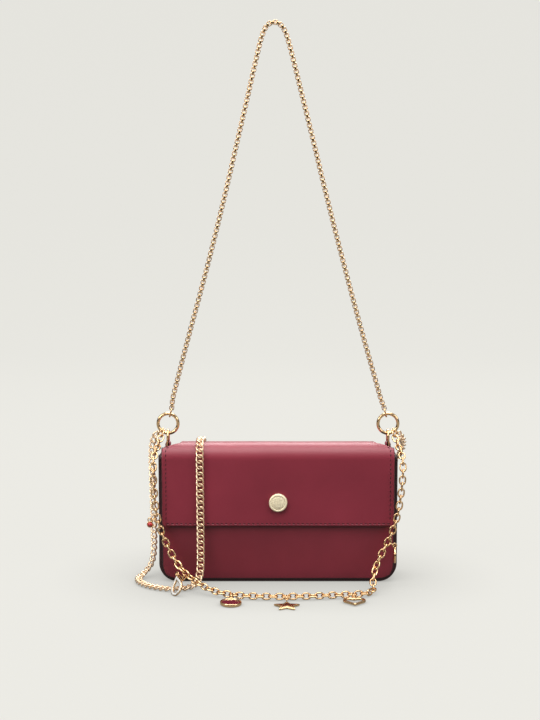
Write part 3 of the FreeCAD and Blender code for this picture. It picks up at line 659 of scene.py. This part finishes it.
charmPlaces = {  # eye, axis of the eye, way that the charm hangs
    "disc": ((-38.926, -77.546, 3.366), (0.026, -0.008, 1.0), front),
    "star": ((6.815, -82.033, 3.2), (0.0, 0.0, 1.0), front),
    "heart": ((62.492, -75.65, 3.2), (0.0, 0.0, 1.0), front),
    "drop": ((-84.893, -51.686, 15.84), (-0.751, -0.483, 0.45), Vector((0, -0.68, -0.73))),
    "coin": ((99.159, -33.153, 35.616), (0.0, -0.995, 0.099), down),
    "bead": ((-108.866, -32.188, 57.621), (0.0, -1.0, 0.02), down),
}
eyeSet = {"radius": 1.75, "wire": 1.0, "steps": 20, "sides": 8, "reach": 1.25}


def charmMatrix(name):
    eye, axis, hang = charmPlaces[name]
    axis = Vector(axis).normalized()
    fall = (hang - axis * hang.dot(axis)).normalized()
    turn = Matrix((axis.cross(fall), -fall, axis)).transposed().to_4x4()
    return Matrix.Translation(Vector(eye) * mm) @ turn


def addEye(builder):
    points = [Vector((math.cos(turn), math.sin(turn), 0)) * eyeSet["radius"] * mm
              for turn in turns(eyeSet["steps"])]
    builder.loop(points, up, roundSection(eyeSet["sides"], eyeSet["wire"] * mm, eyeSet["wire"] * mm))


def belowEye(radius):  # centre of a round charm
    return Vector((0, -(eyeSet["reach"] + radius) * mm, 0))


def lathe(builder, centre, axis, profile, steps):  # profile: radius and height along the axis, in mm
    side = axis.orthogonal().normalized()
    other = axis.cross(side)
    ways = [side * math.cos(turn) + other * math.sin(turn) for turn in turns(steps)]
    builder.grid([[centre + axis * height * mm + way * radius * mm for way in ways]
                  for radius, height in profile])


def charmPiece(builder, name, finish, charm, slot, node):
    if slot == "gold_charm":  # the metal has the eye, the enamel has none
        addEye(builder)
    piece = builder.piece(name, finish)
    piece.data.transform(charmMatrix(charm))
    return place(piece, charm, slot, node)


discSet = {"radius": 8.9, "thick": 3.0, "rim": 1.0, "low": -3.15, "steps": 56}


def makeDisc():
    r, low, high = discSet["radius"], discSet["low"], discSet["low"] + discSet["thick"]
    inner = r - discSet["rim"]
    rim, face = Builder(), Builder()
    lathe(rim, belowEye(r), up, [
        (r - 1.6, low), (r - 0.7, low + 0.1), (r - 0.15, low + 0.6), (r, low + 1.2), (r, high - 0.7),
        (r - 0.15, high - 0.2), (r - 0.5, high), (inner + 0.2, high - 0.08), (inner, high - 0.3),
        (inner - 0.05, high - 1.0)], discSet["steps"])
    lathe(face, belowEye(r), up, [
        (inner - 0.3, high - 1.1), (inner - 0.02, high - 0.75), (inner - 0.3, high - 0.55),
        (inner * 0.6, high - 0.32), (inner * 0.2, high - 0.26)], discSet["steps"])
    return (charmPiece(rim, "discCharm", "gold", "disc", "gold_charm", "disc_charm"),
            charmPiece(face, "discEnamel", "wineEnamel", "disc", "wine_enamel", "disc_enamel"))


starSet = {"radius": 11.5, "inner": 0.46, "points": 5, "low": -2.95, "soft": 3, "tip": 0.10, "notch": 0.07,
           "layers": [(0.0, 0.90), (0.25, 0.97), (0.9, 1.0), (1.3, 1.0), (1.75, 0.95), (2.1, 0.80),
                      (2.5, 0.5), (2.8, 0.12)]}  # height and scale of each layer


def makeStar():
    r = starSet["radius"]
    corners = []
    for index in range(2 * starSet["points"]):
        reach = r * (starSet["inner"] if index % 2 else 1)
        turn = math.pi / 2 + index * math.pi / starSet["points"]
        corners.append(Vector((reach * math.cos(turn), reach * math.sin(turn), 0)) * mm)
    outline = []
    for index, corner in enumerate(corners):  # tips and inner corners are a little rounded
        soft = starSet["notch"] if index % 2 else starSet["tip"]
        one, two = [corner.lerp(corners[other % len(corners)], soft) for other in (index - 1, index + 1)]
        for share in spread(0.0, 1.0, starSet["soft"]):
            outline.append(one.lerp(corner, share).lerp(corner.lerp(two, share), share) + belowEye(r))
    middle = sum(outline, Vector((0, 0, 0))) / len(outline)
    builder = Builder()
    builder.grid([[middle + (point - middle) * scale + up * (starSet["low"] + height) * mm
                   for point in outline] for height, scale in starSet["layers"]])
    return charmPiece(builder, "starCharm", "gold", "star", "gold_charm", "star_charm")


heartSet = {"lobe": 6.0, "wire": 2.1, "rise": 2.3, "low": -2.55, "steps": 64, "sides": 10, "arc": 0.62,
            "drop": 1.3, "sectionPower": 2.3}


def heartOutline(lobe, half):  # two lobes and a point, from the notch round
    corner = lobe * math.sqrt(2)
    arc = int(half * heartSet["arc"])
    points = []
    for turn in spread(math.radians(135), math.radians(-45), arc - 1):
        points.append(Vector((corner / 2 + lobe * math.cos(turn), -corner / 2 + lobe * math.sin(turn), 0)))
    last, tip = points[-1], Vector((0, -2 * corner, 0))
    points += [last.lerp(tip, share) for share in spread(0.0, 1.0, half - arc)[1:]]
    return points + [Vector((-point.x, point.y, 0)) for point in points[-2:0:-1]]


def makeHeart():
    wire, rise = heartSet["wire"], heartSet["rise"]
    shift = Vector((0, -eyeSet["reach"] - wire / 2 * heartSet["drop"], heartSet["low"] + rise / 2))
    outline = heartOutline(heartSet["lobe"] - wire / 2, heartSet["steps"] // 2)
    points = [(point + shift) * mm for point in outline]
    builder = Builder()
    builder.loop(points, up, roundSection(heartSet["sides"], wire * mm, rise * mm, heartSet["sectionPower"]))
    return charmPiece(builder, "heartCharm", "gold", "heart", "gold_charm", "heart_charm")


dropSet = {"radius": 7.2, "length": 11.5, "band": 3.0, "thick": 1.6, "steps": 60,
           "climb": (0.25, 0.5, 0.75, 0.93), "fall": (0.07, 0.25, 0.5, 0.75)}


def dropOutline(share):  # round end below, and two straight sides that meet at the eye
    radius, length = dropSet["radius"] * share, dropSet["length"] * share
    shift = eyeSet["reach"] + dropSet["length"] * (1 - share)
    lean = math.asin(radius / length)
    points = []
    for turn in spread(lean, -math.pi - lean, dropSet["steps"] - 1):
        points.append(Vector((radius * math.cos(turn), -length - shift + radius * math.sin(turn), 0)))
    tip = Vector((0, -shift, 0))
    return (points + [points[-1].lerp(tip, part) for part in dropSet["climb"]]
            + [tip.lerp(points[0], part) for part in dropSet["fall"]])


def ringSlab(outer, inner, layers):  # between two outlines: height, and share moved from each to the other
    rows = [[one.lerp(two, share) * mm + up * height * mm for one, two in zip(outer, inner)]
            for height, share in layers]
    rows += [[two.lerp(one, share) * mm + up * height * mm for one, two in zip(outer, inner)]
             for height, share in reversed(layers)]
    builder = Builder()
    builder.ring(rows[::-1])
    return builder


def makeDrop():
    top = dropSet["thick"] / 2
    outlines = dropOutline(1.0), dropOutline(1 - dropSet["band"] / dropSet["radius"])
    body = ringSlab(*outlines, [(-top, 0.10), (-top + 0.25, 0.0), (top - 0.25, 0.0), (top, 0.05),
                                (top, 0.12)])
    face = ringSlab(*outlines, [(top - 0.3, 0.16), (top + 0.03, 0.16), (top + 0.16, 0.24)])
    return (charmPiece(body, "dropCharm", "gold", "drop", "gold_charm", "drop_charm"),
            charmPiece(face, "dropEnamel", "whiteEnamel", "drop", "white_enamel", "drop_enamel"))


coinSet = {"radius": 7.0, "thick": 1.6, "rim": 0.9, "steps": 48}


def makeCoin():
    r, t = coinSet["radius"], coinSet["thick"] / 2
    inner = r - coinSet["rim"]
    half = [(inner - 0.3, t - 0.3), (inner, t - 0.05), (inner + 0.3, t), (r - 0.25, t), (r, t - 0.3)]
    builder = Builder()
    lathe(builder, belowEye(r), right, [(radius, -height) for radius, height in half] + half[::-1],
          coinSet["steps"])
    return charmPiece(builder, "coinCharm", "gold", "coin", "gold_charm", "coin_charm")


beadSet = {"radius": 2.35, "bezel": 0.4, "thick": 1.5, "steps": 32, "rows": 17}


def makeBead():
    r, t = beadSet["radius"], beadSet["thick"] / 2
    rim = r + beadSet["bezel"]
    bezel, stone = Builder(), Builder()
    lathe(bezel, belowEye(rim), up, [(r * 0.9, -t + 0.1), (rim - 0.25, -t), (rim, -t + 0.3), (rim, t - 0.3),
                                     (rim - 0.2, t), (r * 0.95, t - 0.1)], beadSet["steps"])
    leans = [math.pi * (step + 0.4) / (beadSet["rows"] - 0.2) for step in range(beadSet["rows"])]
    lathe(stone, belowEye(rim), up, [(r * math.sin(lean), -r * math.cos(lean)) for lean in leans],
          beadSet["steps"])
    return (charmPiece(bezel, "beadCharm", "gold", "bead", "gold_charm", "bead_charm"),
            charmPiece(stone, "beadEnamel", "redEnamel", "bead", "red_enamel", "bead_enamel"))


jumpRing = {"width": 5.0, "wire": 1.0, "band": 1.0, "play": -1.0, "square": 2.0, "twist": 0.0, "steps": 22,
            "sides": 8, "sectionPower": 2.0, "clear": 0.15, "reach": 7.8, "turnCost": 20.0, "kneeOut": 3.5,
            "kneeDrop": 0.4, "overlap": 0.8}


def makeJumpRings():
    builder = Builder()
    half = (cableChain["width"] - cableChain["wire"]) * mm / 2
    clear = (cableChain["wire"] + jumpRing["wire"]) * mm / 2 + jumpRing["clear"] * mm
    for name, (eye, axis, _) in charmPlaces.items():
        eye, axis = Vector(eye) * mm, Vector(axis).normalized()

        def misfit(link):  # how far a link is from the best place and plane for this charm
            reach = ((link[0] + link[1]) / 2 - eye).length - jumpRing["reach"] * mm
            return abs(reach) + jumpRing["turnCost"] * mm * abs(abs(link[2].dot(axis)) - 1)

        start, end, normal = min(cableFrames, key=misfit)
        along = (end - start).normalized()
        centre = (start + end) / 2
        out = along.cross(normal)
        out *= math.copysign(1, out.dot(eye - centre))
        inside = centre + out * (half - clear)
        if name == "drop":  # two rings, one in the other
            knee = centre + out * (half + jumpRing["kneeOut"] * mm) + down * jumpRing["kneeDrop"] * mm
            fall = (eye - knee).normalized()
            addLink(builder, inside, knee, along, jumpRing)
            addLink(builder, knee - fall * jumpRing["overlap"] * mm, eye,
                    axis.cross(fall).normalized().cross(fall).normalized(), jumpRing)
        else:
            side = axis.cross(eye - inside).normalized()
            addLink(builder, inside, eye, side if name in ("coin", "bead") else along, jumpRing)
    return place(builder.piece("charmJumpRings", "gold"), "bag", "gold_chain", "charm_jump_rings")


charmPieces = [*makeDisc(), makeStar(), makeHeart(), *makeDrop(), makeCoin(), *makeBead(), makeJumpRings()]
print("charms made:", len(charmPieces), "pieces")


# Leather body

bodySet = {"width": 205.0, "depth": 44.0, "mouth": 110.0, "corner": 16.0, "panel": 1.8, "backTop": 110.5}
panelSet = {"inset": 2.4, "crown": 1.0, "backCrown": 1.1, "roll": 0.9, "rollReach": 1.44, "columns": 44,
            "rows": 30, "uneven": 0.25, "unevenScale": 0.03, "soft": 0.5, "softReach": 4.0, "paintAndShadeSteps": 4}


def fineSteps(low, high, edge, count):  # positions that crowd at both ends
    edges = [0.0, 0.12, 0.35, 0.7, 1.0]
    inner = spread(low + edge, high - edge, count)[1:-1]
    return [*(low + edge * share for share in edges), *inner, *(high - edge * share for share in edges[::-1])]


def roundCorner(x, z, half, floor, radius):  # square corner of a panel's grid pressed into a round one
    middleX, middleZ = half - radius, floor + radius
    if abs(x) <= middleX or z >= middleZ:
        return x, z
    a, b = (abs(x) - middleX) / radius, (middleZ - z) / radius
    return (math.copysign(middleX + radius * a * math.sqrt(1 - b * b / 2), x),
            middleZ - radius * b * math.sqrt(1 - a * a / 2))


def rollOff(edge, reach):  # how far a rounded edge falls away, from 1 at the edge itself to 0
    return 1 - math.sqrt(max(0.0, 1 - (1 - min(1.0, edge / reach)) ** 2))


def panelPiece(name, side, top, crown):
    floor = panelSet["inset"]
    half, radius = bodySet["width"] / 2 - floor, bodySet["corner"] - floor
    faceY = side * bodySet["depth"] / 2
    innerY = faceY - side * bodySet["panel"]
    xs = fineSteps(-half, half, panelSet["rollReach"], panelSet["columns"])
    zs = fineSteps(floor, top, panelSet["rollReach"], panelSet["rows"])
    face, inside = [], []
    for z in zs:
        for x in xs:
            px, pz = roundCorner(x, z, half, floor, radius)
            edge = min(half - abs(x), z - floor, top - z)
            a = (abs(x) / half) ** 2
            b = ((z - (floor + top) / 2) / ((top - floor) / 2)) ** 2
            spot = (px * panelSet["unevenScale"], faceY, pz * panelSet["unevenScale"])
            puff = (crown + panelSet["uneven"] * noise.noise(spot)) * (1 - a) * (1 - b)
            sunk = panelSet["roll"] * rollOff(edge, panelSet["rollReach"])
            soft = panelSet["soft"] * math.exp(-(edge / panelSet["softReach"]) ** 2)
            face.append(Vector((px, faceY + side * (puff - sunk - soft), pz)) * mm)
            inside.append(Vector((px, innerY, pz)) * mm)
    rows, columns, count = len(zs), len(xs), len(face)
    faces = gridFaces(rows, columns, 0, flip=side > 0) + gridFaces(rows, columns, count, flip=side < 0)
    skin = len(faces)
    rim = [*range(columns), *range(2 * columns - 1, count, columns),
           *range(count - 2, count - columns - 1, -1), *range(count - 2 * columns, 0, -columns)]
    for one, two in zip(rim, rim[1:] + rim[:1]):
        quad = (one, count + one, count + two, two)
        faces.append(quad if side < 0 else quad[::-1])
    paintAndShade = panelSet["paintAndShadeSteps"]  # the rolled edge along the sides and the bottom takes the near-black edge finish: edge paint, and painted shade where it turns away from the light
    kinds = [int(row < paintAndShade or min(column, columns - 2 - column) < paintAndShade)
             for row in range(rows - 1) for column in range(columns - 1)]
    kinds += [0] * (skin - len(kinds)) + [1] * len(rim)
    return addPiece(name, face + inside, faces, ["shadedBodyLeather", "edge"], kinds)


gussetSet = {"thick": 3.4, "steps": (26, 14, 40), "across": 16, "drawn": 1.3, "drawnLow": 12.0,
             "drawnHigh": 40.0, "edge": 0.55, "edgeShare": 0.94}


def sidePath(inset, top, steps):  # down one side, along the bottom, up the other: point, outward direction
    half, radius = bodySet["width"] / 2 - inset, bodySet["corner"] - inset
    centre = Vector((radius - half, 0, inset + radius))
    sideSteps, cornerSteps, bottomSteps = steps
    path = [(Vector((-half, 0, z)), -right) for z in spread(top, centre.z, sideSteps)[:-1]]
    for turn in spread(math.pi, 1.5 * math.pi, cornerSteps):
        way = Vector((math.cos(turn), 0, math.sin(turn)))
        path.append((centre + way * radius, way))
    mirrored = [(Vector((-point.x, 0, point.z)), Vector((-way.x, 0, way.z))) for point, way in path]
    bottom = [(Vector((x, 0, inset)), down) for x in spread(centre.x, -centre.x, bottomSteps)[1:-1]]
    return path + bottom + mirrored[::-1]


def gussetPiece():
    depth = bodySet["depth"] / 2 - bodySet["panel"]
    across = gussetSet["across"]
    rows = []
    for point, way in sidePath(0.0, bodySet["mouth"], gussetSet["steps"]):
        standing = smoothStep(point.z, gussetSet["drawnLow"], gussetSet["drawnHigh"])  # the bottom stays flat
        outer, inner = [], []
        for share in spread(-1, 1, across):
            dip = standing * gussetSet["drawn"] * (1 - share ** 2) ** 1.5
            edge = gussetSet["edge"] * smoothStep(abs(share), gussetSet["edgeShare"], 1.0)
            spot = point + back * share * depth
            outer.append((spot - way * (dip + edge)) * mm)
            inner.append((spot - way * (gussetSet["thick"] + dip * 0.5)) * mm)
        rows.append(outer + inner[::-1])
    # the gusset's front and back edges take the near-black edge finish: edge paint, and painted shade in the
    # dark border round the panels
    rim = (0, across - 1, across, 2 * across, 2 * across + 1)
    return shellPiece("gussetStrip", rows, rim, ["shadedBodyLeather", "edge"])


liningSet = {"inset": 5.8, "thin": 0.8, "top": 106.5, "frontY": -17.2, "backY": 20.0, "lip": 0.4,
             "taper": 4.0, "steps": (16, 8, 24), "depthSteps": 8, "wallColumns": 40, "wallRows": 24,
             "wobble": 0.105, "wave": 0.45}


def liningStrip():  # sides and bottom of the pocket, as two layers that are closed all round
    top, half = liningSet["top"], bodySet["width"] / 2 - liningSet["inset"]
    path = [point for point, way in sidePath(liningSet["inset"], top, liningSet["steps"])]
    low, high, lip = liningSet["frontY"], liningSet["backY"], liningSet["lip"]
    ys = [low, low + lip, *spread(low, high, liningSet["depthSteps"])[1:-1], high - lip, high]
    verts = []
    for shrink in (0.0, liningSet["thin"]):
        for x, _, z in path:
            lift = shrink * (1 - smoothStep(z, top - liningSet["taper"], top))
            for y in ys:
                wobble = liningSet["wobble"] * noise.noise((x * 0.06, y * 0.08, z * 0.06 + 7))
                verts.append(Vector((x * (half - shrink) / half + wobble, y, z + lift)) * mm)
    rows, columns, count = len(path), len(ys), len(path) * len(ys)
    faces = gridFaces(rows, columns, 0, flip=True) + gridFaces(rows, columns, count)
    edges = []
    for row in range(rows - 1):
        one, two = row * columns, (row + 1) * columns
        edges += [(one, two), (two + columns - 1, one + columns - 1)]
    for column in range(columns - 1):
        end = count - columns + column
        edges += [(column + 1, column), (end, end + 1)]
    return verts, faces + [(one, two, count + two, count + one) for one, two in edges]


def liningPiece():
    verts, faces = liningStrip()
    floor, top = liningSet["inset"], liningSet["top"]
    half, radius = bodySet["width"] / 2 - floor, bodySet["corner"] - floor
    xs, zs = spread(-half, half, liningSet["wallColumns"]), spread(floor, top, liningSet["wallRows"])
    columns, rows, count = len(xs), len(zs), len(xs) * len(zs)
    for wallY, thick in ((liningSet["frontY"], liningSet["thin"]), (liningSet["backY"], -liningSet["thin"])):
        base = len(verts)
        for offset in (0.0, thick):
            for z in zs:
                for x in xs:
                    px, pz = roundCorner(x, z, half, floor, radius)
                    wave = abs(liningSet["wave"] * noise.noise((px * 0.025, wallY, pz * 0.04)))
                    wave = math.copysign(wave * (1 - (px / half) ** 2), thick)
                    verts.append(Vector((px, wallY + offset + wave, pz)) * mm)
        faces += gridFaces(rows, columns, base, flip=thick < 0)
        faces += gridFaces(rows, columns, base + count, flip=thick > 0)
        for one in range(base + count - columns, base + count - 1):  # the wall's upper edge
            quad = (one, one + 1, count + one + 1, count + one)
            faces.append(quad if thick > 0 else quad[::-1])
    return addPiece("liningPocket", verts, faces, ["lining"])


place(panelPiece("frontPanel", -1, bodySet["mouth"], panelSet["crown"]), "bag", "leather", "front_panel")
place(panelPiece("backPanel", 1, bodySet["backTop"], panelSet["backCrown"]), "bag", "leather", "back_panel")
place(gussetPiece(), "bag", "leather", "gusset")
place(liningPiece(), "bag", "lining", "lining")
print("body made")


# Flap

flapSet = {"width": 198.0, "edge": 50.5, "leather": (0.0, 1.8), "lining": (1.82, 2.6), "liningInset": 2.5,
           "liningStart": 11, "frontY": -26.6, "frontRadius": 13.0, "backRadius": 4.0, "top": 121.0,
           "fold": 112.0, "backY": 22.0, "notch": 84.3, "notchFront": -15.0, "lipX": 93.0, "lipY": -19.5,
           "lipReach": 3.5, "corner": 3.0, "tail": 6.0, "tailLift": 1.0, "seam": 3.4, "seamDepth": 0.3,
           "seamReach": 0.9, "uneven": 0.35, "snapHeight": 71.3, "snapReach": 11.0, "snapHollow": 0.55,
           "roll": 0.75, "rollOut": 0.6, "rollIn": 0.3, "rollRows": (0.0, 0.35, 0.8), "columns": 46,
           "fineFrom": 0.95, "fineShares": [1, 0.997, 0.992, 0.984, 0.97], "tailSteps": 6, "backSteps": 12,
           "liftTurn": 1.2, "topSteps": 12, "foldSteps": 20, "frontSteps": 34,
           "edgeShares": [0.965, 0.98, 0.99, 0.995, 1.0]}


def flapPath():  # outer skin from the sewn tail over the top to the front edge: point and outward direction
    rows = []
    backRadius, frontRadius = flapSet["backRadius"], flapSet["frontRadius"]
    backCentre = Vector((0, flapSet["backY"] - backRadius, flapSet["fold"]))
    frontCentre = Vector((0, flapSet["frontY"] + frontRadius, flapSet["top"] - frontRadius))
    run, rise = backCentre.y - frontCentre.y, backCentre.z - frontCentre.z
    slope = math.asin((frontRadius - backRadius) / math.hypot(run, rise)) - math.atan2(rise, run)
    topTurn = math.pi / 2 - slope

    def outward(turn):
        return Vector((0, math.cos(turn), math.sin(turn)))

    for z in spread(flapSet["fold"] - flapSet["tail"], flapSet["fold"], flapSet["tailSteps"])[:-1]:
        rows.append((Vector((0, flapSet["backY"] + flapSet["tailLift"], z)), back))
    for turn in spread(0.0, topTurn, flapSet["backSteps"]):
        lift = flapSet["tailLift"] * (1 - smoothStep(turn, 0.0, flapSet["liftTurn"]))
        rows.append((backCentre + outward(turn) * (backRadius + lift), outward(turn)))
    topWay = outward(topTurn)
    topStart, topEnd = backCentre + topWay * backRadius, frontCentre + topWay * frontRadius
    rows += [(topStart.lerp(topEnd, share), topWay) for share in spread(0.0, 1.0, flapSet["topSteps"])[1:-1]]
    for turn in spread(topTurn, math.pi, flapSet["foldSteps"]):
        rows.append((frontCentre + outward(turn) * frontRadius, outward(turn)))
    drop = frontCentre.z - flapSet["edge"]
    for share in spread(0.0, 1.0, flapSet["frontSteps"])[1:-2] + flapSet["edgeShares"]:
        rows.append((Vector((0, flapSet["frontY"], frontCentre.z - drop * share)), front))
    return rows


def flapHalf(point, inset):  # half width at a place on the flap's path
    notch, lipX, lipY, corner = [flapSet[key] for key in ("notch", "lipX", "lipY", "corner")]
    y, z = point.y, point.z
    if y > lipY:
        share = max(0.0, (flapSet["notchFront"] - y) / (flapSet["notchFront"] - lipY))
        return notch + (lipX - notch) * share - inset
    full = smoothStep(-y, -lipY, -lipY + flapSet["lipReach"])
    half = lipX + (flapSet["width"] / 2 - lipX) * full - inset
    low = flapSet["edge"] + inset + corner
    if z < low:
        half -= corner * (1 - math.sqrt(max(0.0, 1 - min(1.0, (low - z) / corner) ** 2)))
    return half


def flapSkin(point, x, way):  # soft unevenness of the skin and the hollow round the snap
    wave = flapSet["uneven"] * noise.noise((x * 0.018, point.y * 0.03, point.z * 0.03 + 3))
    reach = math.hypot(x, point.z - flapSet["snapHeight"])
    if way.y < -0.9:
        wave -= flapSet["snapHollow"] * math.exp(-(reach / flapSet["snapReach"]) ** 2)
    return wave


def flapPiece(name, depthOut, depthIn, inset, startRow, finish):
    low = flapSet["edge"] + inset
    path = [row for row in flapPath()[startRow:] if row[0].z > low - 1e-6 or row[0].y > flapSet["lipY"]]
    if inset:
        path.append((Vector((0, flapSet["frontY"], low)), front))
    fine, wide = flapSet["fineShares"], flapSet["fineFrom"]
    shares = [-share for share in fine] + spread(-wide, wide, flapSet["columns"]) + fine[::-1]
    thick = depthIn - depthOut
    rows = []
    for index, (point, way) in enumerate(path):
        half = flapHalf(point, inset)
        ends = min(index, len(path) - 1 - index)
        rolled = ends < len(flapSet["rollRows"]) < index  # only the front end is
        endEdge = flapSet["rollRows"][ends] if rolled else half
        outer, inner = [], []
        for share in shares:
            x, edge = half * share, (1 - abs(share)) * half
            roll = flapSet["roll"] * rollOff(min(edge, endEdge), 1.0)
            skin = flapSkin(point, x, way)
            seam = flapSet["seamDepth"] * math.exp(-((edge - flapSet["seam"]) / flapSet["seamReach"]) ** 2)
            sunk = depthOut + roll * thick * flapSet["rollOut"] + (seam if finish == "leather" else 0.0)
            spot = point + right * x
            outer.append((spot + way * (skin - sunk)) * mm)
            inner.append((spot + way * (skin - depthIn + roll * thick * flapSet["rollIn"])) * mm)
        rows.append(outer + inner[::-1])
    return shellPiece(name, rows, (len(shares) - 1, len(rows[0]) - 1), [finish, "edge"])


for name, depths, inset, startRow, finish, node in (  # the finish's name is the slot's too
        ("flapLeather", flapSet["leather"], 0.0, 0, "leather", "flap_leather"),
        ("flapLining", flapSet["lining"], flapSet["liningInset"], flapSet["liningStart"], "lining",
         "flap_lining")):
    piece = flapPiece(name, *depths, inset, startRow, finish)
    stretch(piece, "flap", finish, (0, 0.0212, 0.1120), (0, 0.0176, 0.1137), node)
print("flap made")


# Stitching

stitchSet = {"step": 3.8, "length": 2.6, "thick": 0.62, "slant": 0.16, "sides": 7, "sunk": 0.22,
             "sideY": -21.0, "straightLow": 60.0, "edgeInset": 3.0, "rowSteps": 60, "darkRow": (2.55, 0.12),
             "highlightRow": (1.5, 0.10),  # height above the flap's edge, depth
             "shape": [(-1, 0.35, -0.25), (-0.8, 0.8, 0.05), (-0.35, 1.0, 0.22), (0.35, 1.0, 0.22),
                       (0.8, 0.8, 0.05), (1, 0.35, -0.25)]}  # share of the length, size, lift


def addStitch(builder, centre, along, outward):
    half, thick = stitchSet["length"] / 2, stitchSet["thick"] / 2
    along = (along + along.cross(outward).normalized() * stitchSet["slant"]).normalized()
    side = along.cross(outward).normalized()
    rows = []
    for share, size, lift in stitchSet["shape"]:
        middle = centre + (along * half * share + outward * lift) * mm
        rows.append([middle + (side * math.cos(turn) + outward * math.sin(turn)) * thick * size * mm
                     for turn in turns(stitchSet["sides"])])
    builder.grid(rows)


def stitchRow(builder, points, outwards):  # even stitches along a row of points, in mm
    lengths = runLengths(points)
    count = int(lengths[-1] / stitchSet["step"])
    for index in range(count):
        run, share = findRun(lengths, (index + 0.5) * lengths[-1] / count)
        spot = points[run].lerp(points[run + 1], share)
        along = (points[run + 1] - points[run]).normalized()
        addStitch(builder, spot * mm, along, outwards[run].lerp(outwards[run + 1], share).normalized())


def frontRow(builder, rise, sunk):  # along the flap's front edge
    y, z, half = flapSet["frontY"], flapSet["edge"] + rise, flapSet["width"] / 2 - stitchSet["edgeInset"]
    points = [Vector((x, y - flapSkin(Vector((0, y, z)), x, front) + sunk, z))
              for x in spread(-half, half, stitchSet["rowSteps"])]
    stitchRow(builder, points, [front] * len(points))


def flapStitches():
    builder = Builder()
    inset = flapSet["seam"]
    for side in (-1, 1):
        points, outs = [], []
        for point, way in flapPath():
            if point.y <= stitchSet["sideY"] and point.z >= flapSet["edge"] + inset:
                straight = Vector((0, point.y, max(point.z, stitchSet["straightLow"])))  # past the corner
                x = side * (flapHalf(straight, 0) - inset)
                points.append(point + right * x + way * (flapSkin(point, x, way) - stitchSet["sunk"]))
                outs.append(way)
        stitchRow(builder, points, outs)
    frontRow(builder, *stitchSet["darkRow"])
    return builder.piece("flapStitches", "thread")


def stitchHighlights():  # painted highlight: a pale row of thread below the dark stitches along the flap's front edge, standing for the light caught by the leather between them
    builder = Builder()
    frontRow(builder, *stitchSet["highlightRow"])
    return builder.piece("stitchHighlights", "highlightThread")


place(flapStitches(), "flap", "leather")
place(stitchHighlights(), "flap", "leather")
print("stitching made")


# Snap, tabs and the other metal

snapSet = {"radius": 7.85, "steps": 64, "profile": [  # distance in from the cap's edge, height
    (0.9, -0.5), (0.2, -0.3), (0.0, 0.2), (0.0, 1.5), (0.15, 2.15), (0.55, 2.6), (1.1, 2.8), (1.6, 2.65),
    (1.85, 2.45), (2.1, 2.4), (2.4, 2.55), (3.2, 2.85), (4.6, 3.02), (6.2, 3.12), (7.4, 3.15)]}
tabSet = {"x": 95.0, "eye": 117.0, "width": 8.0, "skin": 1.25, "bar": 1.15, "footLow": 95.0,
          "footHigh": 105.0, "footX": 98.1, "thick": 2.0, "pullLow": 104.0, "pullHigh": 116.0,
          "footSteps": 4, "turnSteps": 16, "turnFrom": -20, "turnTo": 230,
          "edges": [(0.0, 0.3), (0.15, 0.12), (0.5, 0.0)]}  # distance in from the tab's side, shrink


def makeSnap():
    builder = Builder()
    centre = Vector((0, flapSet["frontY"], flapSet["snapHeight"])) * mm
    profile = [(snapSet["radius"] - inset, height) for inset, height in snapSet["profile"]]
    lathe(builder, centre, front, profile, snapSet["steps"])
    place(builder.piece("snapCap", "goldSatinLit"), "flap", "gold_hardware", "snap_cap")


def makeTab(side, name, node):
    outer = tabSet["bar"] + tabSet["skin"]
    eyeX, eyeZ, footX, thick = tabSet["x"], tabSet["eye"], tabSet["footX"], tabSet["thick"]
    foot = spread(tabSet["footLow"], tabSet["footHigh"], tabSet["footSteps"])
    outline = [(footX + thick / 2, z) for z in foot]
    for angle in spread(tabSet["turnFrom"], tabSet["turnTo"], tabSet["turnSteps"]):  # round the D-ring's bar
        turn = math.radians(angle)
        outline.append((eyeX + outer * math.cos(turn), eyeZ + outer * math.sin(turn)))
    outline += [(footX - thick / 2, z) for z in foot[::-1]]
    half = tabSet["width"] / 2
    edges = [(inset - half, shrink) for inset, shrink in tabSet["edges"]]
    rows = []
    for y, shrink in edges + [(-y, shrink) for y, shrink in edges[::-1]]:
        row = []
        for x, z in outline:
            pull = x - footX + (footX - eyeX) * smoothStep(z, tabSet["pullLow"], tabSet["pullHigh"])
            row.append(Vector((side * (x - math.copysign(min(abs(pull), shrink), pull)), y, z)) * mm)
        rows.append(row)
    builder = Builder()
    builder.grid(rows if side > 0 else rows[::-1])
    place(builder.piece(name, "leather"), "bag", "leather", node)


makeSnap()
makeTab(-1, "leftTab", "left_tab")
makeTab(1, "rightTab", "right_tab")

cadFinishes = {
    "gold": ["left_gate_ring", "right_gate_ring", "left_ring_gate", "right_ring_gate", "left_gate_pin",
             "right_gate_pin", "left_d_ring", "right_d_ring", "snap_plug", "snap_socket"],
    "steel": ["snap_magnet", "snap_washer"],
    "board": ["base_board"],
}
for finish, names in cadFinishes.items():
    for name in names:
        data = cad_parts[name].data
        data.materials.clear()
        data.materials.append(finishes[finish])
print("metal made")
